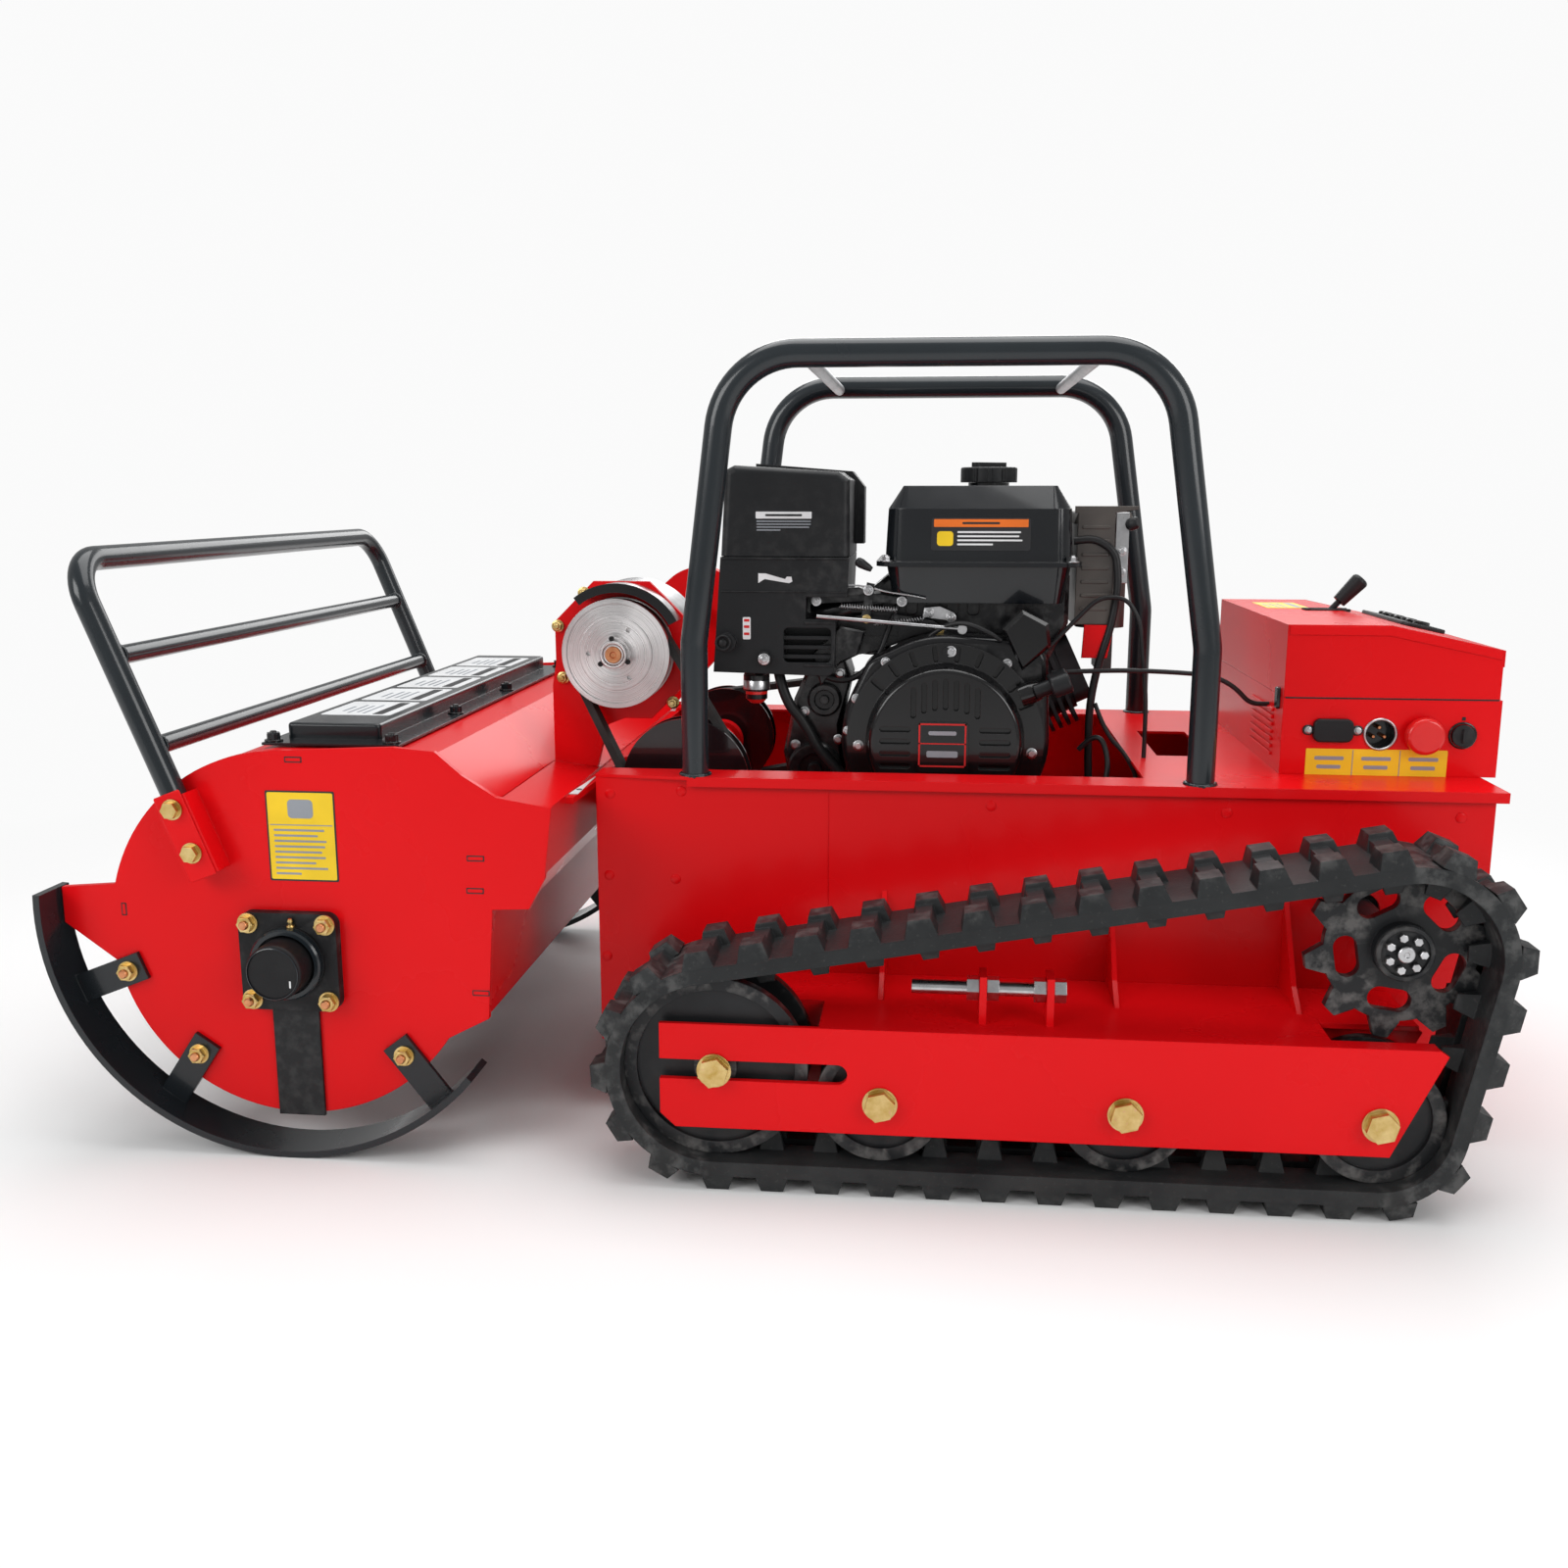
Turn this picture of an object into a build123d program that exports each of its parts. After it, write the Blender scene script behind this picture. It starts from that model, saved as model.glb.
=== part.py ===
"""Remote-controlled tracked carrier with an enclosed grinding drum head."""

import os
from math import cos, radians, sin, sqrt, tan

from build123d import *

# Frame: X runs from the head (minus) to the tail (plus), Z is up, and the
# machine's left side is minus Y. The floor is Z = 0. Millimetres.

# tracks
track_centre = 440.0          # centre plane of each track from the middle plane
track_width = 120.0
belt_thick = 17.0
lug_height = 18.0
lug_pitch_wanted = 60.0
guide_height = 21.0
guide_gap = 18.0              # between the two rows of guide lugs
guide_width = 14.0
idler_x = -52.0
idler_radius = 103.0
roller_xs = (131.0, 395.0, 660.0)
roller_radius = 71.0
sprocket_x = 679.0
sprocket_z = 288.0
sprocket_seat = 86.0          # inner radius of the belt round the sprocket
wheel_half_width = 38.0
roll_gap = 0.3                # wheel rims to belt
run_gap = 0.05                # shafts in bores
belt_floor = lug_height + belt_thick
idler_z = belt_floor + idler_radius
roller_z = belt_floor + roller_radius

# sprocket
tooth_count = 10
tooth_tip = sprocket_seat + 13.5
tooth_root = 80.0
sprocket_thick = 12.0
sprocket_shaft = 14.0
hub_radius = 31.0

# track frames
frame_plate = 8.0
frame_outer = 488.0           # outer face of the outer plate from the middle plane
frame_inner = 400.0           # outer face of the inner plate
frame_top = 191.0
frame_bottom = 70.0
frame_front = -113.0
frame_rear = 724.0
axle_radius = 10.0
axle_head = 17.3

# hull
hull_front = -222.0
hull_rear = 817.0
hull_half = 297.0
hull_bottom = 95.0
deck_z = 427.0
sheet = 6.0
flange_half = 306.0
engine_deck = 322.0
rear_deck_x = 430.0
mouth_left = 225.0            # opening in the front wall for the head's arms
mouth_right = 115.0
mouth_z = 326.0

# roll hoops
hoop_y = 287.0
hoop_tube = 16.0
hoop_feet = (-102.0, 490.0)
hoop_kink_z = 588.0
hoop_top_x = (-61.0, 438.0)
hoop_top_z = 917.0
hoop_corner = 92.0
crossbar_xs = (30.0, 358.0)
crossbar_radius = 8.0

# engine
crank_x = 195.0
crank_z = 459.0
crank_radius = 12.5
recoil_radius = 122.0
recoil_dome = 98.0
recoil_face = -212.0

# control box
box_front = 595.0
box_rear = 845.0
box_half = 211.0
box_seam = 523.0
lid_top = 610.0
lid_fold = 713.0
lid_rear_z = 582.0
lid_gap = 0.6
lever_x = 690.0
lever_y = 20.0
lever_pivot_z = lid_top - 12
lever_lean = 42.0
panel_z = 481.0
inlet_x = 654.0
outlet_x = 709.0
stop_x = 757.0
key_x = 803.0

# drive
lay_x = -128.0
lay_z = 405.0
lay_radius = 15.0
clutch_x = -214.0
clutch_z = 566.0
clutch_radius = 68.0
cross_radius = 12.5
pulley_y = (-205.0, -172.0)   # near-side pulley pair
engine_belt_y = (150.0, 180.0)
engine_pulley_radius = 50.0
lay_pulley_radius = 60.0
belt_section = 9.0

# head
drum_x = -555.0
drum_z = 230.0
drum_radius = 118.0
tooth_reach = 170.0
drum_shaft = 17.5
side_outer = 428.0
side_thick = 8.0
side_arc_x = -556.0
side_arc_z = 258.0
side_arc = 218.0
shell_thick = 5.0
shell_top = 476.0
cover_half = 364.0
skid_arc_z = 289.0
skid_arc = 289.0
skid_thick = 8.0
skid_y = (408.0, 468.0)
skid_angles = (-40.0, 176.0)  # rear end, front end, going under the drum
tab_angles = (201.5, 236.0, 307.4)
tab_bolt_circle = 215.0
guard_y = 443.0
guard_foot = (-643.0, 338.0)
guard_top = (-778.0, 689.0)
guard_mid_z = 582.0
guard_low_z = 480.0
guard_tube = 14.0
guard_rail_tube = 11.0
flange_bearing = 117.0        # square flange for a 35 mm shaft
bearing_spacing = 92.0

case_y = (452.0, 494.0)       # belt case on the right of the head
case_standoffs = ((-380.0, 400.0), (-470.0, 318.0), (-555.0, 310.0))
inner_half = side_outer - side_thick - 0.5


def side_plane(y):
    """Plane at this Y whose extrusions run towards minus Y, drawn in X and Z."""
    return Plane.XZ.offset(-y)


def span(side, inner, outer):
    """Plane and width for a piece between two distances out from the middle."""
    low, high = sorted((side * inner, side * outer))
    return side_plane(high), high - low


def slab(low, high):
    return side_plane(high), high - low


def keep(piece, name):
    piece.label = name
    export_step(piece, f"parts/{name}.step")
    print(name, round(piece.volume / 1000), "cm3")


# ---------------------------------------------------------------- tracks

def wheel_circles(extra):
    return (
        (idler_x, idler_z, idler_radius + extra),
        (roller_xs[-1], roller_z, roller_radius + extra),
        (sprocket_x, sprocket_z, sprocket_seat + extra),
    )


def belt_outline(extra):
    """Face of the loop round idler, last roller and sprocket, grown by extra."""
    with BuildSketch(Plane.XY) as loop:
        with BuildLine():
            for x, z, radius in wheel_circles(extra):
                CenterArc((x, z), radius, 0, 360)
        make_hull()
    return loop.face()


def belt_stations(count):
    """Evenly spaced points on the belt's outer face with tangent and outward normal."""
    wire = belt_outline(belt_thick).outer_wire()
    middle = Vector(300, 180)
    stations = []
    for index in range(count):
        point = wire.position_at(index / count)
        tangent = wire.tangent_at(index / count)
        normal = Vector(-tangent.Y, tangent.X)
        if normal.dot(point - middle) < 0:
            normal = -normal
        stations.append((point, normal))
    return stations


def make_tread_lug():
    """One tread bar, base on XY, long way along Y: two tall blocks and a low waist."""
    block_y = track_width / 2 - 21
    with BuildPart() as lug:
        with BuildSketch(Plane.XY.offset(-0.5)):
            with Locations((-4, -block_y), (4, block_y)):
                Rectangle(36, 42)
        extrude(amount=lug_height + 0.5, taper=17)
        with BuildSketch(Plane.XY.offset(-0.5)):
            Rectangle(24, track_width - 70)
        extrude(amount=lug_height - 5, taper=12)
    return lug.part


def make_guide_lug():
    """One pair of guide lugs, base on XY, growing towards minus Z."""
    offset_y = guide_gap / 2 + guide_width / 2
    with BuildPart() as guide:
        with BuildSketch(Plane.XY.offset(0.5)):
            with Locations((0, -offset_y), (0, offset_y)):
                Rectangle(28, guide_width)
        extrude(amount=-(guide_height + 0.5), taper=14)
    return guide.part


def make_track_belt(side):
    centre = side * track_centre
    low = centre - track_width / 2
    high = centre + track_width / 2
    channel = sprocket_thick / 2 + 2
    lug = make_tread_lug()
    guide = make_guide_lug()
    length = belt_outline(belt_thick / 2).outer_wire().length
    count = round(length / lug_pitch_wanted)
    lug_places = []
    guide_places = []
    for point, normal in belt_stations(count):
        up = Vector(normal.X, 0, normal.Y)
        spot = Vector(point.X, centre, point.Y)
        along = Vector(0, 1, 0).cross(up)
        lug_places.append(Plane(origin=spot, x_dir=along, z_dir=up).location)
        inside = spot - up * belt_thick
        guide_places.append(Plane(origin=inside, x_dir=along, z_dir=up).location)
    with BuildPart() as belt:
        with BuildSketch(side_plane(high)):
            add(belt_outline(belt_thick))
            add(belt_outline(0), mode=Mode.SUBTRACT)
        extrude(amount=high - low)
        with Locations(*lug_places):
            add(lug)
        with Locations(*guide_places):
            add(guide)
        with BuildSketch(side_plane(centre + channel)):
            add(belt_outline(tooth_tip - sprocket_seat + 1))
            add(belt_outline(-guide_height - 2), mode=Mode.SUBTRACT)
        extrude(amount=2 * channel, mode=Mode.SUBTRACT)
    return belt.part, length, count


def make_sprocket(side):
    centre = side * track_centre
    plane, width = slab(centre - sprocket_thick / 2, centre + sprocket_thick / 2)
    tooth_base = tooth_root * sin(radians(11.5))
    tooth_top = tooth_tip * sin(radians(4.3))
    flat_tip = sqrt(tooth_tip ** 2 - tooth_top ** 2)
    hub_plane, hub_width = span(side, track_centre - 24, track_centre + 20)
    shaft_plane, shaft_width = span(side, hull_half - 60, track_centre + 20)
    with BuildPart() as sprocket:
        with BuildSketch(plane):
            with Locations((sprocket_x, sprocket_z)):
                Circle(tooth_root)
                with PolarLocations(0, tooth_count, start_angle=10):
                    Polygon(
                        (tooth_root - 8, -tooth_base), (tooth_root, -tooth_base),
                        (flat_tip, -tooth_top), (flat_tip, tooth_top),
                        (tooth_root, tooth_base), (tooth_root - 8, tooth_base),
                        align=None,
                    )
                with PolarLocations(56.5, tooth_count // 2, start_angle=46):
                    SlotOverall(46, 25, rotation=90, mode=Mode.SUBTRACT)
        extrude(amount=width)
        with BuildSketch(hub_plane):
            with Locations((sprocket_x, sprocket_z)):
                Circle(hub_radius)
        extrude(amount=hub_width)
        with BuildSketch(shaft_plane):
            with Locations((sprocket_x, sprocket_z)):
                Circle(sprocket_shaft)
        extrude(amount=shaft_width)
        bolt_plane, bolt_width = span(side, track_centre + 18, track_centre + 24)
        with BuildSketch(bolt_plane):
            with Locations((sprocket_x, sprocket_z)):
                RegularPolygon(9, 6)
                with PolarLocations(18, 7):
                    RegularPolygon(5, 6)
        extrude(amount=bolt_width)
    return sprocket.part


def make_track_wheel(side, x, z, radius, bore):
    """Idler or roller: two rims astride the guide lugs on a slimmer barrel."""
    rim = radius - roll_gap
    rim_inner = guide_gap / 2 + guide_width + 2
    centre = side * track_centre
    barrel = radius - guide_height - 3
    with BuildPart() as wheel:
        with BuildSketch(side_plane(centre + rim_inner + 0.5)):
            with Locations((x, z)):
                Circle(barrel)
        extrude(amount=2 * rim_inner + 1)
        for offset in (-1, 1):
            inner, outer = sorted((offset * rim_inner, offset * wheel_half_width))
            rim_plane, rim_width = slab(centre + inner, centre + outer)
            with BuildSketch(rim_plane):
                with Locations((x, z)):
                    Circle(rim)
            extrude(amount=rim_width)
            outward = centre + offset * wheel_half_width
            with BuildSketch(side_plane(outward)):
                with Locations((x, z)):
                    Circle(rim - 14)
                    Circle(bore + 14, mode=Mode.SUBTRACT)
            extrude(amount=6 * offset, mode=Mode.SUBTRACT)
        with BuildSketch(side_plane(centre + wheel_half_width + 1)):
            with Locations((x, z)):
                Circle(bore)
        extrude(amount=2 * wheel_half_width + 2, mode=Mode.SUBTRACT)
    return wheel.part


def frame_profile(top):
    """Outline of a track frame plate with its open slot for the idler axle."""
    slot = axle_radius + 1.5
    Polygon(
        (frame_front, top), (frame_rear - 9, top), (frame_rear, top - 6),
        (frame_rear - 52, frame_bottom), (frame_front + 17, frame_bottom),
        (frame_front, frame_bottom + 16), align=None,
    )
    with Locations((idler_x + 28, idler_z)):
        SlotOverall(2 * (idler_x + 28 - frame_front) + 60, 2 * slot, mode=Mode.SUBTRACT)
    with Locations(*[(x, roller_z) for x in roller_xs]):
        Circle(axle_radius + run_gap, mode=Mode.SUBTRACT)


def make_track_frame(side):
    outer_plane, plate = span(side, frame_outer - frame_plate, frame_outer)
    inner_plane, _ = span(side, frame_inner - frame_plate, frame_inner)
    rim = wheel_half_width + 4
    cut_low, cut_high = sorted((side * (track_centre - rim), side * (track_centre + rim)))
    shelf_low, shelf_high = sorted((side * hull_half, side * (frame_outer - frame_plate)))
    lug_xs = (241.0, 314.0)
    with BuildPart() as frame:
        with BuildSketch(outer_plane):
            frame_profile(frame_top)
        extrude(amount=plate)
        with BuildSketch(inner_plane):
            frame_profile(frame_top - sheet)
        extrude(amount=plate)
        with BuildSketch(Plane.XY.offset(frame_top - sheet)):
            with Locations(((frame_front + frame_rear - 9) / 2, (shelf_low + shelf_high) / 2)):
                Rectangle(frame_rear - 9 - frame_front, shelf_high - shelf_low)
        extrude(amount=sheet)
        idler_open = idler_x + idler_radius + 12
        with BuildSketch(Plane.XY.offset(frame_top - sheet)):
            with Locations(((frame_front + idler_open) / 2 - 10, (cut_low + cut_high) / 2)):
                Rectangle(idler_open - frame_front + 20, cut_high - cut_low)
            with Locations((frame_rear - 40, side * track_centre)):
                Rectangle(150, 2 * (guide_gap / 2 + guide_width + 3))
        extrude(amount=sheet, mode=Mode.SUBTRACT)
        for x in (124.0, 391.0, 591.0):
            with BuildSketch(Plane.YZ.offset(x)):
                near = side * hull_half
                Polygon(
                    (near, frame_top), (near + side * 92, frame_top),
                    (near + side * 60, frame_top + 22), (near, frame_top + 105), align=None,
                )
            extrude(amount=sheet)
        for x in lug_xs:
            with BuildSketch(Plane.YZ.offset(x - 4)):
                with Locations((side * track_centre, frame_top + 27)):
                    Rectangle(34, 54)
                with Locations((side * track_centre, frame_top + 36)):
                    Circle(8.5, mode=Mode.SUBTRACT)
            extrude(amount=8)
    return frame.part


def make_axle_bolts():
    """Roller and idler axles: a domed hex head outside the frame, a plain shank inside."""
    with BuildPart() as bolts:
        for side in (-1, 1):
            shank_plane, shank = span(side, frame_inner - frame_plate - 2, frame_outer)
            washer_plane, washer = span(side, frame_outer, frame_outer + 2)
            head_plane, head = span(side, frame_outer + 2, frame_outer + 11.5)
            places = [(x, roller_z) for x in roller_xs] + [(idler_x, idler_z)]
            with BuildSketch(shank_plane):
                with Locations(*places):
                    Circle(axle_radius)
            extrude(amount=shank)
            with BuildSketch(washer_plane):
                with Locations(*places):
                    Circle(axle_head + 2)
            extrude(amount=washer)
            with BuildSketch(head_plane):
                with Locations(*places):
                    RegularPolygon(axle_head, 6, rotation=15)
            extrude(amount=head)
    return bolts.part


def make_tension_screws():
    """Threaded rods with lock nuts either side of the two lugs on each track frame."""
    z = frame_top + 36
    with BuildPart() as screws:
        for side in (-1, 1):
            y = side * track_centre
            with Locations(Location((246.0, y, z), (0, 90, 0))):
                Cylinder(8, 166)
            for x in (230.0, 252.0, 303.0, 325.0):
                with BuildSketch(Plane.YZ.offset(x - 6.5)):
                    with Locations((y, z)):
                        RegularPolygon(13.8, 6)
                extrude(amount=13)
    return screws.part


def make_drive_motors():
    """Gear motors inside the hull, each bored for its sprocket shaft."""
    with BuildPart() as motors:
        for side in (-1, 1):
            body_plane, body = span(side, 70, hull_half - sheet - 12)
            face_plane, face = span(side, hull_half - sheet - 12, hull_half - sheet)
            bore_plane, bore = span(side, hull_half - 62, hull_half)
            with BuildSketch(body_plane):
                with Locations((sprocket_x, sprocket_z)):
                    Circle(62)
            extrude(amount=body)
            with BuildSketch(face_plane):
                with Locations((sprocket_x, sprocket_z)):
                    Circle(78)
            extrude(amount=face)
            with BuildSketch(bore_plane):
                with Locations((sprocket_x, sprocket_z)):
                    Circle(sprocket_shaft + run_gap)
            extrude(amount=bore, mode=Mode.SUBTRACT)
    return motors.part


# ---------------------------------------------------------------- hull

def make_hull_tub():
    """Welded tub with the engine deck and two bearing plates for the layshaft."""
    length = hull_rear - hull_front
    middle = (hull_rear + hull_front) / 2
    inner = hull_half - sheet
    tall = deck_z - hull_bottom
    with BuildPart() as tub:
        with Locations((middle, 0, hull_bottom + tall / 2)):
            Box(length, 2 * hull_half, tall)
        with Locations((middle, 0, hull_bottom + sheet + tall / 2)):
            Box(length - 2 * sheet, 2 * inner, tall, mode=Mode.SUBTRACT)
        with Locations((middle, 0, engine_deck - sheet / 2)):
            Box(length - sheet, 2 * inner + 1, sheet)
        mouth_middle = (mouth_right - mouth_left) / 2
        with Locations((hull_front, mouth_middle, mouth_z + tall / 2)):
            Box(4 * sheet, mouth_left + mouth_right, tall, mode=Mode.SUBTRACT)
        with BuildSketch(side_plane(hull_half + 1)):
            with Locations((sprocket_x, sprocket_z)):
                Circle(sprocket_shaft + 6)
        extrude(amount=2 * hull_half + 2, mode=Mode.SUBTRACT)
        with BuildSketch(Plane.XY.offset(engine_deck - sheet - 1)):
            with Locations((sprocket_x, 0)):
                Rectangle(190, 2 * inner)
        extrude(amount=sheet + 2, mode=Mode.SUBTRACT)
        for low, high in ((-118.0, -96.0), (100.0, 122.0)):
            plane, width = slab(low, high)
            with BuildSketch(plane):
                with Locations((lay_x, lay_z)):
                    Circle(30)
                Polygon(
                    (lay_x - 42, engine_deck), (lay_x + 42, engine_deck),
                    (lay_x + 28, lay_z), (lay_x - 28, lay_z), align=None,
                )
                with Locations((lay_x, lay_z)):
                    Circle(lay_radius + run_gap, mode=Mode.SUBTRACT)
            extrude(amount=width)
    return tub.part


def make_top_deck():
    """Side flanges and the closed rear deck, all one bent and welded sheet."""
    opening_rear = rear_deck_x
    flange_front = -114.0
    tip = hull_rear + 11
    inner = hull_half - 42
    with BuildPart() as deck:
        with BuildSketch(Plane.XY.offset(deck_z)):
            Polygon(
                (hull_front, -hull_half), (flange_front, -flange_half), (tip, -flange_half),
                (tip, flange_half), (flange_front, flange_half), (hull_front, hull_half),
                (hull_front, inner), (opening_rear, inner), (opening_rear, -inner),
                (hull_front, -inner), align=None,
            )
        extrude(amount=4)
        with BuildSketch(Plane.XY.offset(deck_z)):
            with Locations((opening_rear + 70, 0)):
                Rectangle(66, 200)
        extrude(amount=4, mode=Mode.SUBTRACT)
        for side in (-1, 1):
            lip_plane, lip = span(side, flange_half - 3, flange_half)
            with BuildSketch(lip_plane):
                with Locations(((flange_front + tip) / 2 + 2, deck_z - 4)):
                    Rectangle(tip - flange_front - 4, 8)
            extrude(amount=lip)
    return deck.part


def hoop_path(y):
    return FilletPolyline(
        (hoop_feet[0], y, deck_z + 4), (hoop_feet[0], y, hoop_kink_z),
        (hoop_top_x[0], y, hoop_top_z), (hoop_top_x[1], y, hoop_top_z),
        (hoop_feet[1], y, hoop_kink_z), (hoop_feet[1], y, deck_z + 4),
        radius=(70, hoop_corner, hoop_corner, 70),
    )


def make_hoop(y):
    with BuildPart() as hoop:
        with BuildLine() as path:
            hoop_path(y)
        with BuildSketch(Plane(origin=path.line @ 0, z_dir=path.line % 0)):
            Circle(hoop_tube)
        sweep()
    return hoop.part


def make_crossbars():
    """Two light tubes that tie the hoops together, coped to fit them."""
    reach = hoop_y - hoop_tube + 4
    z = hoop_top_z - 4
    with BuildPart() as bars:
        for x in crossbar_xs:
            with Locations(Location((x, 0, z), (90, 0, 0))):
                Cylinder(crossbar_radius, 2 * reach)
        for y in (-hoop_y, hoop_y):
            with Locations(Location((200, y, hoop_top_z), (0, 90, 0))):
                Cylinder(hoop_tube + 0.1, 460, mode=Mode.SUBTRACT)
    return bars.part


# ---------------------------------------------------------------- engine

def make_crankcase():
    with BuildPart() as case:
        with BuildSketch(Plane.XY.offset(engine_deck)):
            with Locations((190, -12)):
                RectangleRounded(330, 210, 14)
        extrude(amount=16)
        with BuildSketch(slab(-120, 92)[0]):
            with Locations((crank_x - 8, crank_z - 38)):
                RectangleRounded(236, 170, 36)
            with Locations((crank_x, crank_z)):
                Circle(104)
        extrude(amount=212)
        with BuildSketch(slab(92, 112)[0]):
            with Locations((crank_x, crank_z)):
                Circle(58)
        extrude(amount=20)
        with BuildSketch(slab(-140, -118)[0]):
            with Locations((crank_x, crank_z)):
                Circle(40)
        extrude(amount=22)
        with BuildSketch(side_plane(130)):
            with Locations((crank_x, crank_z)):
                Circle(crank_radius + run_gap)
        extrude(amount=280, mode=Mode.SUBTRACT)
        with Locations(Location((88, -70, engine_deck + 62), (90, 0, 30))):
            Cylinder(13, 34)
    return case.part


def make_cylinder():
    """Finned barrel and head leaning up and to the rear."""
    lean = Plane(origin=(246, -8, 486), x_dir=(0, 1, 0), z_dir=(0.906, 0, 0.423))
    with BuildPart() as barrel:
        with BuildSketch(lean):
            RectangleRounded(116, 104, 22)
        extrude(amount=112)
        for step in range(6):
            with BuildSketch(lean.offset(46 + 11 * step)):
                RectangleRounded(146, 134, 14)
            extrude(amount=5)
        with BuildSketch(lean.offset(112)):
            RectangleRounded(124, 92, 16)
        extrude(amount=22)
        with BuildSketch(slab(-125, 100)[0]):
            with Locations((crank_x - 8, crank_z - 38)):
                RectangleRounded(236.4, 170.4, 36)
            with Locations((crank_x, crank_z)):
                Circle(104.2)
        extrude(amount=225, mode=Mode.SUBTRACT)
    return barrel.part


def make_fan_cover():
    with BuildPart() as cover:
        with BuildSketch(side_plane(-122)):
            with BuildLine():
                CenterArc((crank_x, crank_z), 130, 0, 360)
                CenterArc((crank_x + 92, crank_z + 92), 34, 0, 360)
                CenterArc((crank_x - 78, crank_z + 78), 26, 0, 360)
            make_hull()
        extrude(amount=46)
        fillet(cover.faces().sort_by(Axis.Y)[0].edges(), 9)
        with BuildSketch(side_plane(-118)):
            with Locations((crank_x, crank_z)):
                Circle(96)
        extrude(amount=30, mode=Mode.SUBTRACT)
        with BuildSketch(side_plane(-140)):
            with Locations((crank_x, crank_z)):
                Circle(50)
        extrude(amount=40, mode=Mode.SUBTRACT)
        cut = engine_deck + 16.5
        with Locations((crank_x, -145, cut - 30)):
            Box(300, 80, 60, mode=Mode.SUBTRACT)
    return cover.part


def make_recoil_cover():
    """Starter housing: a bolted ring, a slotted dome and a square centre plate."""
    ring_face = -186.0
    with BuildPart() as recoil:
        with BuildSketch(side_plane(-168)):
            with Locations((crank_x, crank_z)):
                Circle(recoil_radius)
        extrude(amount=-168 - ring_face)
        with BuildSketch(side_plane(ring_face)):
            with Locations((crank_x, crank_z)):
                Circle(recoil_dome)
        extrude(amount=ring_face - recoil_face, taper=12)
        fillet(recoil.faces().sort_by(Axis.Y)[0].edges(), 6)
        with BuildSketch(side_plane(recoil_face)):
            for column in range(-3, 4):
                with Locations((crank_x + 13 * column, crank_z + 62 - 1.2 * column ** 2)):
                    SlotOverall(38, 6.5, rotation=90)
            for side in (-1, 1):
                for row in range(5):
                    with Locations((crank_x + side * 61, crank_z + 18 - 15 * row)):
                        SlotOverall(38, 6.5)
        extrude(amount=-7, mode=Mode.SUBTRACT)
        with BuildSketch(side_plane(ring_face)):
            with Locations((crank_x, crank_z)):
                with PolarLocations(109, 9, start_angle=25, angular_range=130):
                    SlotOverall(20, 6)
        extrude(amount=-8, mode=Mode.SUBTRACT)
        with BuildSketch(side_plane(recoil_face)):
            with Locations((crank_x - 2, crank_z - 3)):
                RectangleRounded(62, 62, 5)
        extrude(amount=4)
        with BuildSketch(side_plane(-166)):
            with Locations((crank_x, crank_z)):
                Circle(36)
        extrude(amount=30, mode=Mode.SUBTRACT)
        with BuildSketch(side_plane(ring_face)):
            with Locations((crank_x, crank_z)):
                with PolarLocations(112, 3, start_angle=90):
                    RegularPolygon(6, 6)
        extrude(amount=5)
        keep_above = engine_deck + 2
        with Locations((crank_x, -190, keep_above - 20)):
            Box(300, 80, 40, mode=Mode.SUBTRACT)
    return recoil.part


def make_recoil_handle():
    pull = Plane(origin=(303, -200, 524), x_dir=(0, 1, 0), z_dir=(0.93, 0, 0.368))
    with BuildPart() as handle:
        with BuildSketch(pull):
            Circle(9)
        extrude(amount=20)
        with BuildSketch(pull.offset(20)):
            RectangleRounded(58, 26, 12)
        extrude(amount=24)
        fillet(handle.edges().filter_by(GeomType.LINE).group_by(SortBy.LENGTH)[-1], 3)
    return handle.part


tank_middle = (233.0, -35.0)
tank_flange_z = 672.0
tank_top_z = 771.0


def make_fuel_tank():
    with BuildPart() as tank:
        with BuildSketch(Plane.XY.offset(tank_flange_z)):
            with Locations(tank_middle):
                RectangleRounded(256, 232, 30)
        extrude(amount=6)
        with BuildSketch(Plane.XY.offset(tank_flange_z + 6)):
            with Locations(tank_middle):
                RectangleRounded(234, 212, 26)
        extrude(amount=tank_top_z - tank_flange_z - 34, taper=3)
        with BuildSketch(Plane.XY.offset(tank_top_z - 28)):
            with Locations(tank_middle):
                RectangleRounded(227, 205, 24)
        extrude(amount=28, taper=33)
        with BuildSketch(Plane.XY.offset(tank_flange_z)):
            with Locations(tank_middle):
                RectangleRounded(230, 208, 26)
        extrude(amount=-46, taper=11)
        with BuildSketch(Plane.XY.offset(tank_top_z)):
            with Locations((tank_middle[0] + 12, tank_middle[1] - 22)):
                Circle(44)
        extrude(amount=-6, mode=Mode.SUBTRACT)
        with BuildSketch(Plane.XY.offset(tank_top_z - 6)):
            with Locations((tank_middle[0] + 12, tank_middle[1] - 22)):
                Circle(26)
        extrude(amount=10)
    return tank.part


def make_fuel_cap():
    base = tank_top_z + 4.3
    with BuildPart() as cap:
        with BuildSketch(Plane.XY.offset(base)):
            with Locations((tank_middle[0] + 12, tank_middle[1] - 22)):
                Circle(36)
                with PolarLocations(38, 12):
                    Circle(4, mode=Mode.SUBTRACT)
        extrude(amount=19)
        fillet(cap.faces().sort_by(Axis.Z)[-1].edges(), 2.5)
        with BuildSketch(Plane.XY.offset(base + 18)):
            with Locations((tank_middle[0] + 12, tank_middle[1] - 22)):
                SlotOverall(52, 13, rotation=35)
        extrude(amount=7)
    return cap.part


filter_y = (-150.0, 22.0)
filter_seam = 684.0


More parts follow.
